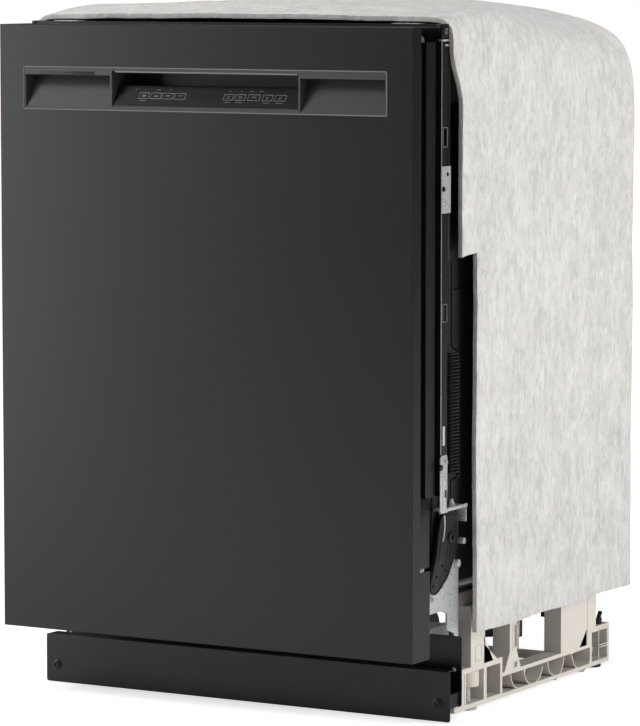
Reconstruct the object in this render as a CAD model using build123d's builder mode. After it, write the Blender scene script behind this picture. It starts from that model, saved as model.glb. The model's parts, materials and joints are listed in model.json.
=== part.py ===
from build123d import *

import os
from math import cos, radians, sin

os.makedirs("parts", exist_ok=True)

# A 24 inch built-in dishwasher, in millimetres.
# X is to the right of someone facing the door, Y runs from the door to the wall, Z is up from the floor.

# Overall sizes
width = 606.0  # the door and the blanket
depth = 640.0  # face of the door to back of the blanket
height = 876.0  # floor to the countertop brackets
half = width / 2
front = -depth / 2
rear = depth / 2

# Door shell and its hinge
door_gap_below = 90.0
door_gap_above = 4.0
door_sheet = 1.0
door_return = 20.0
door_foot_return = 45.0
door_foot_height = 111.0
door_top_return = 68.0
hinge_setback = 58.0
hinge_height = 150.0
pin_radius = 5.0
pin_clearance = 0.05
liner_setback = 70.0
liner_edge = 12.0
liner_sheet = 1.0
liner_corner = 8.0
door_bottom = door_gap_below
door_top = height - door_gap_above
hinge_y = front + hinge_setback
liner_back = front + liner_setback
liner_bottom = hinge_height + 8.0
liner_top = door_top - 10.0

# Tub, its frame and the blanket
tub_inset = 25.0
tub_wall = 1.0
tub_floor = 153.0
tub_headroom = 14.0
tub_corner = 80.0
tub_floor_corner = 20.0
tub_back_gap = 20.0
frame_setback = 75.0
frame_depth = 16.0
frame_sheet = 1.2
frame_lip = 14.0
opening_corner = 45.0
opening_foot_corner = 5.0
frame_bottom = 140.0
frame_sill = 160.0
frame_lintel = 38.0
flange_foot = 290.0
blanket_wall = 14.0
blanket_corner = 95.0
blanket_back_corner = 36.0
blanket_setback = 103.0
blanket_bottom = 106.0
blanket_crown = 20.0
notch_depth = 52.0
notch_top = 582.0
flange_slots = ((508.0, 528.0), (725.0, 747.0))
side_bracket_foot = 642.0
side_bracket_head = 700.0
side_bracket_screw = 672.0
bracket_hole_radius = 2.5
tub_half = half - tub_inset
tub_top = height - tub_headroom
tub_back = rear - tub_back_gap
opening_half = tub_half - frame_lip
opening_top = height - frame_lintel
frame_front = front + frame_setback
frame_back = frame_front + frame_depth
frame_low_half = tub_half + frame_sheet + 0.2
frame_top = height - 1.0
blanket_front = front + blanket_setback
blanket_top = height + blanket_crown
gasket_gap = 0.3
gasket_in = 2.0
gasket_out = 11.0

# Handle pocket and control panel
pocket_side_inset = 37.0
pocket_height = 54.0
pocket_drop = 54.0
pocket_corner = 2.0
wing_drop = 10.0
grip_drop = 4.0
pocket_wing_depth = 24.0
pocket_depth = 56.0
console_left = -132.0
console_right = 141.0
console_tilt = 33.0
console_lift = 4.0
console_length = 32.0
overlay_sheet = 1.2
key_height = 9.0
key_middle = 17.0
key_gap = 0.3
key_body = 3.0
key_proud = 0.2
key_bed = 4.0
window_bottom = 11.0
window_top = 28.0
window_half = 22.0
pocket_half = half - pocket_side_inset
pocket_top = door_top - pocket_drop
pocket_bottom = pocket_top - pocket_height
left_keys = {
    "heavy": (-97.0, -81.0),
    "normal": (-79.0, -63.3),
    "light": (-62.3, -44.6),
    "rinse": (-43.6, -27.0),
}
right_keys = {
    "heat": (28.7, 43.1),
    "delay": (45.4, 60.6),
    "lock": (64.0, 81.6),
    "start": (84.9, 100.0),
    "cancel": (102.3, 119.2),
}
keys = left_keys | right_keys

# Base, feet and toe panels
base_inset = 16.0
base_rail = 25.0
base_bottom = 4.0
base_box_top = 57.0
base_deck = 135.0
base_box_length = 133.0
base_rear_length = 59.0
base_rail_sheet = 5.0
base_rail_lift = 31.0
column_foot = 34.0
base_setback = 141.0
base_rear_gap = 49.0
leg_radius = 5.0
leg_pad_radius = 13.0
leg_setback = 198.0
foot_setback = 78.0
toe_setback = 99.0
toe_sheet = 1.2
toe_bottom = 1.0
toe_top = 65.0
toe_fold = 20.0
toe_screw_inset = 17.0
toe_screw_height = 24.0
toe_screw_radius = 2.5
access_top = 104.0
access_bottom = 14.0
access_sheet = 2.0
base_half = half - base_inset
base_front = front + base_setback
base_back = rear - base_rear_gap
leg_y = front + leg_setback
foot_y = rear - foot_setback
leg_x = base_half - base_rail / 2
toe_front = front + toe_setback
toe_back = toe_front + toe_sheet

# Hinge hardware beside the tub
arm_sheet = 2.5
arm_radius = 12.0
arm_top = 340.0
bracket_sheet = 2.5
cam_sheet = 4.0
spring_radius = 11.0
spring_wire = 2.2
spring_bottom = 310.0
spring_top = 467.0
spring_setback = 124.0
spring_inset = 12.5
liner_half = tub_half + 2.0
arm_inner = liner_half
bracket_inner = arm_inner + arm_sheet + 1.5
cam_inner = bracket_inner + bracket_sheet + 1.5
spring_y = front + spring_setback
spring_x = half - spring_inset
shelf_top = 272.0

# Racks
rack_wire = 4.0
rack_inset = 24.0
rack_back_gap = 55.0
lower_rack_bottom = 190.0
lower_rack_top = 330.0
upper_rack_bottom = 520.0
upper_rack_top = 650.0
wheel_radius = 18.0
wheel_width = 10.0
wheel_axle_radius = 3.0
wheel_setback = 67.0
wheel_height = 181.0
track_height = 12.0
track_width = 12.0
track_bottom = 568.0
roller_radius = 8.0
roller_gap = 0.3
rack_half = opening_half - rack_inset
rack_front = frame_back - 1.0
rack_back = tub_back - rack_back_gap
track_inner = opening_half - track_width - 2.0
rack_pitch = (rack_back - rack_front - rack_wire) / 6
wheel_front_y = rack_front + wheel_setback
wheel_rear_y = rack_back - 45.0

# Wash system
arm_centre_y = front + 360.0
upper_arm_y = arm_centre_y - 20.0
lower_arm_inset = 48.0
upper_arm_inset = 68.0
hub_radius = 12.0
hub_gap = 0.3
sump_radius = 94.0
sump_bottom = 106.0
sump_wall = 3.0
plate_radius = 108.0
cup_radius = 26.0
cup_offset = (50.0, 25.0)
float_x = tub_half - 53.0
float_y = front + 115.0
heater_rod = 3.5
heater_inset = 63.0
heater_height = 164.0
lower_arm_reach = tub_half - lower_arm_inset
upper_arm_reach = tub_half - upper_arm_inset
heater_half = tub_half - heater_inset


def block(x, y, z, mode=Mode.ADD):
    """A block between two values along each axis, in the open part."""
    middle = tuple((low + high) / 2 for low, high in (x, y, z))
    size = (abs(high - low) for low, high in (x, y, z))
    with Locations(middle):
        Box(*size, mode=mode)


def bar(radius, start, end, mode=Mode.ADD):
    """A round bar from one point to another, in the open part."""
    run = Vector(*end) - Vector(*start)
    with Locations(Plane(origin=start, z_dir=run).location):
        Cylinder(radius, run.length, align=(Align.CENTER, Align.CENTER, Align.MIN), mode=mode)


def side_plate(outline, x, corner=0.0, mode=Mode.ADD):
    """A plate with an outline of (y, z) points, between two values of x, in the open part."""
    low, high = sorted(x)
    with BuildSketch(Plane.YZ.offset(low)) as profile:
        with BuildLine():
            Polyline(*outline, close=True)
        make_face()
        if corner:
            fillet(profile.vertices(), corner)
    extrude(profile.sketch, amount=high - low, mode=mode)


def front_plate(low, high, y, corner=0.0, mode=Mode.ADD):
    """A rectangular plate from one (x, z) corner to another, between two values of y, in the open part."""
    size = (high[0] - low[0], high[1] - low[1])
    middle = ((low[0] + high[0]) / 2, (low[1] + high[1]) / 2)
    with BuildSketch(Plane.XZ.offset(-y[1])) as profile:
        with Locations(middle):
            if corner:
                RectangleRounded(*size, corner)
            else:
                Rectangle(*size)
    extrude(profile.sketch, amount=y[1] - y[0], mode=mode)


def arched_plate(half_width, heights, radii, y, mode=Mode.ADD):
    """A plate with its own corner radii at foot and top, between two values of y, in the open part."""
    foot, top = heights
    foot_radius, top_radius = radii
    with BuildSketch(Plane.XZ.offset(-y[1])) as profile:
        with Locations((0.0, (foot + top) / 2)):
            Rectangle(2 * half_width, top - foot)
        fillet(profile.vertices().group_by(Axis.Y)[-1], top_radius)
        if foot_radius:
            fillet(profile.vertices().group_by(Axis.Y)[0], foot_radius)
    extrude(profile.sketch, amount=y[1] - y[0], mode=mode)


def both_sides(low, high):
    """The same span of x on the right and on the left."""
    return (low, high), (-low, -high)


def save(part, label):
    """Labels a finished piece and writes its STEP file."""
    part.label = label
    export_step(part, f"parts/{label}.step")


# ---------------------------------------------------------------- base, feet and toe panels

with BuildPart() as base_frame:
    box_end = base_front + base_box_length
    rear_start = base_back - base_rear_length
    for side in both_sides(base_half - base_rail, base_half):
        block(side, (base_front, box_end), (base_bottom, base_box_top))
        block(side, (rear_start, base_back), (base_bottom, base_box_top))
        for rail_z in (base_bottom, base_rail_lift):
            block(side, (box_end, rear_start), (rail_z, rail_z + base_rail_sheet))
        # front column with its gusset, middle column with a spread foot, and the wide rear column
        side_plate(
            [
                (base_front + 45.0, base_box_top),
                (base_front + 45.0, base_deck),
                (base_front + 84.0, base_deck),
                (base_front + 84.0, 80.0),
                (base_front + 119.0, base_box_top),
            ],
            side,
        )
        side_plate(
            [
                (box_end + 5.0, column_foot),
                (base_front + 154.0, 60.0),
                (base_front + 154.0, base_deck),
                (base_front + 174.0, base_deck),
                (base_front + 174.0, 60.0),
                (box_end + 53.0, column_foot),
            ],
            side,
        )
        side_plate(
            [
                (base_back - 147.0, column_foot),
                (base_back - 147.0, base_deck),
                (base_back - 41.0, base_deck),
                (base_back - 41.0, base_box_top),
                (rear_start, column_foot),
            ],
            side,
        )
        block(side, (base_front + 32.0, base_front + 81.0), (10.0, 50.0), mode=Mode.SUBTRACT)
        block(side, (base_front + 89.0, base_front + 127.0), (10.0, 50.0), mode=Mode.SUBTRACT)
        block(side, (base_back - 53.0, base_back - 6.0), (10.0, 50.0), mode=Mode.SUBTRACT)
    for side in both_sides(tub_half - 23.0, tub_half - 2.0):
        block(side, (base_front - 10.0, tub_back - 15.0), (base_deck, tub_floor))
    rails_inner = base_half - base_rail
    block((-rails_inner, rails_inner), (base_front, base_front + 12.0), (20.0, base_box_top))
    strap_z = (base_bottom, base_bottom + base_rail_sheet)
    block((-rails_inner, rails_inner), (base_back - 40.0, base_back), strap_z)
    block((2.0 - tub_half, tub_half - 2.0), (base_front - 10.0, base_front + 10.0), (base_deck, tub_floor))
    block((2.0 - tub_half, tub_half - 2.0), (tub_back - 35.0, tub_back - 15.0), (base_deck, tub_floor))
    for x in (-leg_x, leg_x):
        bar(leg_radius + pin_clearance, (x, leg_y, base_bottom - 1.0), (x, leg_y, 12.0), mode=Mode.SUBTRACT)
save(base_frame.part, "base_frame")

for name, x in (("left", -leg_x), ("right", leg_x)):
    with BuildPart() as levelling_leg:
        bar(leg_pad_radius, (x, leg_y, 0.0), (x, leg_y, base_bottom - 0.3))
        bar(leg_radius, (x, leg_y, base_bottom - 0.3), (x, leg_y, 46.0))
        with BuildSketch(Plane.XY.offset(34.0)):
            with Locations((x, leg_y)):
                RegularPolygon(9.0, 6)
        extrude(amount=6.0)
    save(levelling_leg.part, f"levelling_leg_{name}")

with BuildPart() as rear_feet:
    for x in (-leg_x, leg_x):
        bar(leg_pad_radius, (x, foot_y, 0.0), (x, foot_y, base_bottom))
save(rear_feet.part, "rear_feet")

with BuildPart() as access_panel:
    front_plate(
        (5.0 - half, access_bottom),
        (half - 5.0, access_top),
        (base_front - access_sheet, base_front),
        corner=4.0,
    )
    for side in both_sides(half - toe_screw_inset - 9.0, half - toe_screw_inset + 9.0):
        block(side, (toe_back, base_front - access_sheet), (toe_screw_height - 9.0, toe_screw_height + 9.0))
    for x in (toe_screw_inset - half, half - toe_screw_inset):
        bar(
            toe_screw_radius + pin_clearance,
            (x, toe_back, toe_screw_height),
            (x, toe_back + 20.0, toe_screw_height),
            mode=Mode.SUBTRACT,
        )
save(access_panel.part, "access_panel")

with BuildPart() as toe_panel:
    front_plate((-half, toe_bottom), (half, toe_top), (toe_front, toe_back), corner=3.0)
    block((4.0 - half, half - 4.0), (toe_back, toe_front + toe_fold), (toe_top - toe_sheet, toe_top))
    for x in (toe_screw_inset - half, half - toe_screw_inset):
        bar(
            toe_screw_radius + pin_clearance,
            (x, toe_front - 1.0, toe_screw_height),
            (x, toe_back + 1.0, toe_screw_height),
            mode=Mode.SUBTRACT,
        )
save(toe_panel.part, "toe_panel")

with BuildPart() as toe_panel_screws:
    for x in (toe_screw_inset - half, half - toe_screw_inset):
        bar(7.0, (x, toe_front - 1.0, toe_screw_height), (x, toe_front, toe_screw_height))
        bar(4.5, (x, toe_front - 3.5, toe_screw_height), (x, toe_front - 1.0, toe_screw_height))
        bar(toe_screw_radius, (x, toe_front, toe_screw_height), (x, toe_back + 18.0, toe_screw_height))
save(toe_panel_screws.part, "toe_panel_screws")

# ---------------------------------------------------------------- tub, frame and blanket

with BuildPart() as wash_tub:
    seat = frame_front + frame_sheet
    arched_plate(tub_half, (tub_floor, tub_top), (tub_floor_corner, tub_corner), (seat, tub_back))
    arched_plate(
        tub_half - tub_wall,
        (tub_floor + tub_wall, tub_top - tub_wall),
        (tub_floor_corner - tub_wall, tub_corner - tub_wall),
        (seat, tub_back - tub_wall),
        mode=Mode.SUBTRACT,
    )
    # ledges that the lower rack's wheels run on
    for side in both_sides(rack_half + 3.0, tub_half - 18.0):
        block(side, (frame_back, tub_back - 40.0), (tub_floor + 0.5, wheel_height - wheel_radius - 0.3))
    bar(
        sump_radius + 6.0,
        (0.0, arm_centre_y, tub_floor - 1.0),
        (0.0, arm_centre_y, tub_floor + 3.0),
        mode=Mode.SUBTRACT,
    )
save(wash_tub.part, "wash_tub")

with BuildPart() as tub_frame:
    frame_y = (frame_front, frame_back)
    front_plate((-half + 1.0, frame_bottom), (half - 1.0, frame_top), frame_y, corner=12.0)
    front_plate(
        (1.0 + frame_sheet - half, frame_bottom + frame_sheet),
        (half - 1.0 - frame_sheet, frame_top - frame_sheet),
        (frame_front + frame_sheet, frame_back),
        corner=12.0 - frame_sheet,
        mode=Mode.SUBTRACT,
    )
    # the hinges pass beside the narrow foot of the frame
    for side in both_sides(frame_low_half, half):
        block(side, (frame_front, frame_back), (frame_bottom, flange_foot), mode=Mode.SUBTRACT)
    for side in both_sides(frame_low_half - frame_sheet, frame_low_half):
        block(side, (frame_front, frame_back), (frame_bottom + 20.0, flange_foot))
    for side in both_sides(frame_low_half - frame_sheet, half - 1.0):
        block(side, (frame_front, frame_back), (flange_foot, flange_foot + frame_sheet))
    arched_plate(
        opening_half + frame_sheet,
        (frame_sill - frame_sheet, opening_top + frame_sheet),
        (opening_foot_corner + frame_sheet, opening_corner + frame_sheet),
        (frame_front, frame_back),
    )
    arched_plate(
        opening_half,
        (frame_sill, opening_top),
        (opening_foot_corner, opening_corner),
        (frame_front, frame_back),
        mode=Mode.SUBTRACT,
    )
    # pressed slots in the flange's edge
    for side in both_sides(half - 3.0, half):
        for low, high in flange_slots:
            block(side, (frame_front + 5.0, frame_front + 12.0), (low, high), mode=Mode.SUBTRACT)
save(tub_frame.part, "tub_frame")

with BuildPart() as insulation_blanket:
    arched_plate(half, (blanket_bottom, blanket_top), (0.0, blanket_corner), (blanket_front, rear))
    back_edges = insulation_blanket.faces().sort_by(Axis.Y)[-1].edges()
    fillet(back_edges.filter_by(lambda edge: edge.center().Z > blanket_bottom + 1.0), blanket_back_corner)
    arched_plate(
        half - blanket_wall,
        (blanket_bottom, blanket_top - blanket_wall),
        (0.0, blanket_corner - blanket_wall),
        (blanket_front, rear - blanket_wall),
        mode=Mode.SUBTRACT,
    )
    notch_y = (blanket_front, blanket_front + notch_depth)
    for side in both_sides(half - blanket_wall - 2.0, half):
        block(side, notch_y, (blanket_bottom, notch_top), mode=Mode.SUBTRACT)
save(insulation_blanket.part, "insulation_blanket")

with BuildPart() as door_gasket:
    gasket_y = (liner_back + gasket_gap, frame_front)
    arched_plate(
        opening_half + gasket_out,
        (frame_sill, opening_top + gasket_out),
        (0.0, opening_corner + gasket_out),
        gasket_y,
    )
    arched_plate(
        opening_half + gasket_in,
        (frame_sill, opening_top + gasket_in),
        (0.0, opening_corner + gasket_in),
        gasket_y,
        mode=Mode.SUBTRACT,
    )
    block((-half, half), gasket_y, (frame_sill, frame_sill + 40.0), mode=Mode.SUBTRACT)
save(door_gasket.part, "door_gasket")

with BuildPart() as latch_strike:
    strike_z = opening_top + 18.0
    block((-14.0, 14.0), (frame_front - 1.0, frame_front), (strike_z - 5.0, strike_z + 5.0))
    block((-6.0, 6.0), (frame_front - 25.0, frame_front - 1.0), (strike_z - 3.0, strike_z + 3.0))
    slot_y = (frame_front - 22.0, frame_front - 12.0)
    block((-2.5, 2.5), slot_y, (strike_z - 4.0, strike_z + 4.0), mode=Mode.SUBTRACT)
save(latch_strike.part, "latch_strike")

with BuildPart() as countertop_brackets:
    for side in both_sides(half - 71.0, half - 35.0):
        block(side, (frame_front, frame_front + 24.0), (height - 1.0, height))
    for x in (53.0 - half, half - 53.0):
        hole_y = frame_front + 12.0
        bar(bracket_hole_radius, (x, hole_y, height - 2.0), (x, hole_y, height + 1.0), mode=Mode.SUBTRACT)
save(countertop_brackets.part, "countertop_brackets")

with BuildPart() as side_brackets:
    for side in both_sides(half - 1.0, half):
        block(side, (frame_front - 2.0, frame_front + 22.0), (side_bracket_foot, side_bracket_head))
    for inner, outer in both_sides(half - 2.0, half + 1.0):
        bar(
            bracket_hole_radius,
            (inner, frame_front + 3.0, side_bracket_screw),
            (outer, frame_front + 3.0, side_bracket_screw),
            mode=Mode.SUBTRACT,
        )
save(side_brackets.part, "side_brackets")

# ---------------------------------------------------------------- hinge hardware

for name, sign in (("left", -1.0), ("right", 1.0)):
    with BuildPart() as hinge_bracket:
        plate_x = (sign * bracket_inner, sign * (bracket_inner + bracket_sheet))
        side_plate(
            [
                (base_front + 1.0, base_box_top),
                (base_front + 1.0, access_top + 3.0),
                (hinge_y + 64.0, access_top + 10.0),
                (hinge_y + 64.0, hinge_height - 15.0),
                (hinge_y + 52.0, hinge_height - 10.0),
                (hinge_y - 12.0, hinge_height - 10.0),
                (hinge_y - 12.0, hinge_height + 16.0),
                (hinge_y + 22.0, hinge_height + 28.0),
                (hinge_y + 47.0, hinge_height + 55.0),
                (hinge_y + 47.0, shelf_top),
                (hinge_y + 75.0, shelf_top),
                (hinge_y + 79.0, hinge_height + 55.0),
                (base_front + 11.0, hinge_height + 40.0),
                (base_front + 11.0, base_box_top),
            ],
            plate_x,
        )
        shelf_x = (sign * bracket_inner, sign * (half - 3.5))
        block(shelf_x, (hinge_y + 32.0, hinge_y + 90.0), (shelf_top - 3.0, shelf_top))
        bar(
            pin_radius,
            (sign * (arm_inner - 0.7), hinge_y, hinge_height),
            (sign * (bracket_inner + 1.0), hinge_y, hinge_height),
        )
        for y, z in ((hinge_y + 22.0, hinge_height + 8.0), (hinge_y + 49.0, hinge_height + 22.0)):
            bar(
                4.0,
                (sign * (bracket_inner - 1.0), y, z),
                (sign * (bracket_inner + 9.0), y, z),
                mode=Mode.SUBTRACT,
            )
    save(hinge_bracket.part, f"hinge_bracket_{name}")

with BuildPart() as hinge_cams:
    for side in both_sides(cam_inner, cam_inner + cam_sheet):
        side_plate(
            [
                (hinge_y + 38.0, shelf_top - 4.0),
                (hinge_y + 72.0, shelf_top - 6.0),
                (hinge_y + 82.0, hinge_height + 94.0),
                (hinge_y + 68.0, hinge_height + 52.0),
                (hinge_y + 55.0, hinge_height + 34.0),
                (hinge_y + 19.0, hinge_height + 15.0),
                (hinge_y + 9.0, hinge_height + 22.0),
                (hinge_y + 12.0, hinge_height + 50.0),
            ],
            side,
            corner=3.0,
        )
        # the curved slot that guides the spring's link
        side_plate(
            [
                (hinge_y + 46.0, hinge_height + 110.0),
                (hinge_y + 54.0, hinge_height + 110.0),
                (hinge_y + 62.0, hinge_height + 92.0),
                (hinge_y + 54.0, hinge_height + 62.0),
                (hinge_y + 47.0, hinge_height + 66.0),
                (hinge_y + 53.0, hinge_height + 92.0),
            ],
            side,
            mode=Mode.SUBTRACT,
        )
save(hinge_cams.part, "hinge_cams")

with BuildPart() as door_springs:
    for x in (-spring_x, spring_x):
        bar(spring_radius, (x, spring_y, spring_bottom), (x, spring_y, spring_top))
        bar(
            spring_radius - spring_wire,
            (x, spring_y, spring_bottom + spring_wire),
            (x, spring_y, spring_top - spring_wire),
            mode=Mode.SUBTRACT,
        )
        bar(1.5, (x, spring_y, shelf_top), (x, spring_y, spring_bottom))
        bar(1.5, (x, spring_y, spring_top), (x, spring_y, notch_top))
save(door_springs.part, "door_springs")

for name, sign in (("left", -1.0), ("right", 1.0)):
    with BuildPart() as hinge_arm:
        arm_x = (sign * arm_inner, sign * (arm_inner + arm_sheet))
        block(arm_x, (hinge_y - 6.0, hinge_y + 10.0), (hinge_height, arm_top))
        bar(arm_radius, (arm_x[0], hinge_y, hinge_height), (arm_x[1], hinge_y, hinge_height))
        bar(
            pin_radius + pin_clearance,
            (arm_x[0] - sign, hinge_y, hinge_height),
            (arm_x[1] + sign, hinge_y, hinge_height),
            mode=Mode.SUBTRACT,
        )
    save(hinge_arm.part, f"hinge_arm_{name}")

# ---------------------------------------------------------------- door

with BuildPart() as outer_door_panel:
    sheet_back = front + door_sheet
    block((-half, half), (front, sheet_back), (door_bottom, door_top))
    for side in both_sides(half - door_sheet, half):
        block(side, (front, front + door_return), (door_bottom, door_top))
        block(side, (front, front + door_foot_return), (door_bottom, door_bottom + door_foot_height))
    block((-half, half), (front, front + door_return), (door_bottom, door_bottom + door_sheet))
    block((-half, half), (front, front + door_top_return), (door_top - door_sheet, door_top))
    face_edges = outer_door_panel.faces().sort_by(Axis.Y)[0].edges()
    fillet(face_edges, door_sheet * 0.9)
    front_plate(
        (-pocket_half, pocket_bottom),
        (pocket_half, pocket_top),
        (front - 1.0, sheet_back + 1.0),
        corner=pocket_corner,
        mode=Mode.SUBTRACT,
    )
save(outer_door_panel.part, "outer_door_panel")

with BuildPart() as door_inner_frame:
    channel = (liner_half + arm_sheet + 0.5, half - 6.0)
    for side in both_sides(*channel):
        block(side, (front + 44.0, front + 68.0), (flange_foot, door_top - 19.0))
    for side in both_sides(channel[0] + 1.5, channel[1] - 1.5):
        block(side, (front + 45.5, front + 68.0), (flange_foot + 1.5, door_top - 20.5), mode=Mode.SUBTRACT)
    for side in both_sides(channel[0] + 3.0, channel[0] + 4.5):
        block(side, (sheet_back, front + 44.0), (flange_foot, door_top - 19.0))
save(door_inner_frame.part, "door_inner_frame")

dispenser_middle = (-27.0, 400.0)
dispenser_size = (215.0, 110.0)
dispenser_core = (180.0, 96.0)
dispenser_depth = 35.0
dispenser_proud = 12.0
lid_sheet = 3.0
lid_width = 68.0
lid_height = 88.0
cup_wall = 6.0
lid_right = 2.0
cap_x = 45.0
cap_radius = 16.0
latch_half = 30.0

with BuildPart() as door_liner:
    pan_y = (liner_back - liner_edge, liner_back)
    front_plate((-liner_half, liner_bottom), (liner_half, liner_top), pan_y, corner=liner_corner)
    front_plate(
        (liner_sheet - liner_half, liner_bottom + liner_sheet),
        (liner_half - liner_sheet, liner_top - liner_sheet),
        (liner_back - liner_edge, liner_back - liner_sheet),
        corner=liner_corner - liner_sheet,
        mode=Mode.SUBTRACT,
    )
    # window for the dispenser and notch for the latch
    front_plate(
        (dispenser_middle[0] - dispenser_core[0] / 2, dispenser_middle[1] - dispenser_core[1] / 2),
        (dispenser_middle[0] + dispenser_core[0] / 2, dispenser_middle[1] + dispenser_core[1] / 2),
        (liner_back - liner_edge, liner_back + 1.0),
        mode=Mode.SUBTRACT,
    )
    block(
        (-latch_half - 1.0, latch_half + 1.0),
        (liner_back - liner_edge, liner_back),
        (opening_top + 3.0, liner_top),
        mode=Mode.SUBTRACT,
    )
save(door_liner.part, "door_liner")

with BuildPart() as door_bottom_seal:
    block(
        (2.0 - opening_half, opening_half - 2.0),
        (liner_back, frame_front - gasket_gap),
        (liner_bottom + 1.0, liner_bottom + 13.0),
    )
save(door_bottom_seal.part, "door_bottom_seal")

with BuildPart() as door_latch:
    block((-latch_half, latch_half), (liner_back - 39.0, liner_back - 1.0), (opening_top + 4.0, door_top - 3.0))
    mouth_z = (opening_top + 11.0, opening_top + 25.0)
    block((-9.0, 9.0), (liner_back - 26.0, liner_back), mouth_z, mode=Mode.SUBTRACT)
save(door_latch.part, "door_latch")

with BuildPart() as control_board:
    board_y = (front + 15.0, front + 16.6)
    block((-130.0, 130.0), board_y, (pocket_bottom - 74.0, pocket_bottom - 14.0))
    for x in (-122.0, 122.0):
        for z in (pocket_bottom - 66.0, pocket_bottom - 22.0):
            bar(3.0, (x, sheet_back, z), (x, board_y[0], z))
    for x, wide, tall in ((-95.0, 30.0, 22.0), (-40.0, 18.0, 12.0), (25.0, 24.0, 16.0), (90.0, 36.0, 10.0)):
        part_y = (board_y[1], board_y[1] + tall)
        block((x - wide / 2, x + wide / 2), part_y, (pocket_bottom - 60.0, pocket_bottom - 34.0))
save(control_board.part, "control_board")

console_plane = Plane(
    origin=(0.0, front, pocket_bottom + console_lift),
    x_dir=(1.0, 0.0, 0.0),
    z_dir=(0.0, -cos(radians(console_tilt)), sin(radians(console_tilt))),
)
slope_back = front + console_length * sin(radians(console_tilt))
slope_top = pocket_bottom + console_lift + console_length * cos(radians(console_tilt))


def key_windows(depth_down, up, gap, mode):
    """One window for each key, cut square to the console's slope, in the open part."""
    with BuildSketch(console_plane.offset(-depth_down)) as windows:
        for low, high in keys.values():
            with Locations(((low + high) / 2, key_middle)):
                Rectangle(high - low + 2 * gap, key_height + 2 * gap)
    extrude(windows.sketch, amount=depth_down + up, mode=mode)


with BuildPart() as console_housing:
    front_plate(
        (-pocket_half, pocket_bottom),
        (pocket_half, pocket_top),
        (front, front + pocket_wing_depth),
        corner=pocket_corner,
    )
    front_plate(
        (console_left - 8.0, pocket_bottom),
        (console_right + 5.0, pocket_top),
        (front + pocket_wing_depth, front + pocket_depth),
        corner=pocket_corner,
    )
    wing_floor = pocket_bottom + 2.0
    wing_top = pocket_top - wing_drop
    grip_top = pocket_top - grip_drop
    for side in ((2.5 - pocket_half, console_left - 3.0), (console_right + 3.0, pocket_half - 2.5)):
        side_plate(
            [
                (front - 1.0, wing_floor),
                (front - 1.0, wing_top),
                (front + 21.0, wing_top),
                (front + 0.5, wing_floor),
            ],
            side,
            mode=Mode.SUBTRACT,
        )
    side_plate(
        [
            (front - 1.0, pocket_bottom + console_lift),
            (front, pocket_bottom + console_lift),
            (slope_back, slope_top),
            (front + pocket_depth - 4.0, slope_top),
            (front + pocket_depth - 4.0, grip_top),
            (front - 1.0, grip_top),
        ],
        (console_left, console_right),
        mode=Mode.SUBTRACT,
    )
    key_windows(key_bed, 1.0, key_gap, Mode.SUBTRACT)
save(console_housing.part, "console_housing")

with BuildPart() as console_overlay:
    with BuildSketch(console_plane):
        with Locations(((console_left + console_right) / 2, console_length / 2 + 1.0)):
            RectangleRounded(console_right - console_left - 2.0, console_length - 4.0, 1.5)
        with Locations((0.0, (window_bottom + window_top) / 2)):
            Rectangle(2 * window_half, window_top - window_bottom, mode=Mode.SUBTRACT)
    extrude(amount=overlay_sheet)
    key_windows(1.0, overlay_sheet + 1.0, key_gap, Mode.SUBTRACT)
save(console_overlay.part, "console_overlay")

with BuildPart() as display_window:
    with BuildSketch(console_plane):
        with Locations((0.0, (window_bottom + window_top) / 2)):
            Rectangle(2 * window_half, window_top - window_bottom)
    extrude(amount=overlay_sheet)
save(display_window.part, "display_window")

for name, (low, high) in keys.items():
    with BuildPart() as touch_key:
        with BuildSketch(console_plane.offset(overlay_sheet + key_proud - key_body)):
            with Locations(((low + high) / 2, key_middle)):
                RectangleRounded(high - low, key_height, 1.0)
        extrude(amount=key_body)
    save(touch_key.part, f"{name}_key")

with BuildPart() as dispenser_body:
    core_y = (liner_back - dispenser_depth, liner_back)
    front_plate(
        (dispenser_middle[0] - dispenser_core[0] / 2, dispenser_middle[1] - dispenser_core[1] / 2),
        (dispenser_middle[0] + dispenser_core[0] / 2, dispenser_middle[1] + dispenser_core[1] / 2),
        core_y,
    )
    front_plate(
        (dispenser_middle[0] - dispenser_size[0] / 2, dispenser_middle[1] - dispenser_size[1] / 2),
        (dispenser_middle[0] + dispenser_size[0] / 2, dispenser_middle[1] + dispenser_size[1] / 2),
        (liner_back, liner_back + dispenser_proud),
        corner=8.0,
    )
    front_plate(
        (lid_right - lid_width + cup_wall, dispenser_middle[1] - lid_height / 2 + cup_wall),
        (lid_right - cup_wall, dispenser_middle[1] + lid_height / 2 - cup_wall),
        (liner_back - dispenser_depth + 3.0, liner_back + dispenser_proud),
        corner=6.0,
        mode=Mode.SUBTRACT,
    )
    bar(
        cap_radius + 0.3,
        (cap_x, liner_back + 4.0, dispenser_middle[1]),
        (cap_x, liner_back + dispenser_proud + 1.0, dispenser_middle[1]),
        mode=Mode.SUBTRACT,
    )
save(dispenser_body.part, "dispenser_body")

with BuildPart() as dispenser_lid:
    front_plate(
        (lid_right - lid_width, dispenser_middle[1] - lid_height / 2),
        (lid_right, dispenser_middle[1] + lid_height / 2),
        (liner_back + dispenser_proud, liner_back + dispenser_proud + lid_sheet),
        corner=6.0,
    )
save(dispenser_lid.part, "dispenser_lid")

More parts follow.
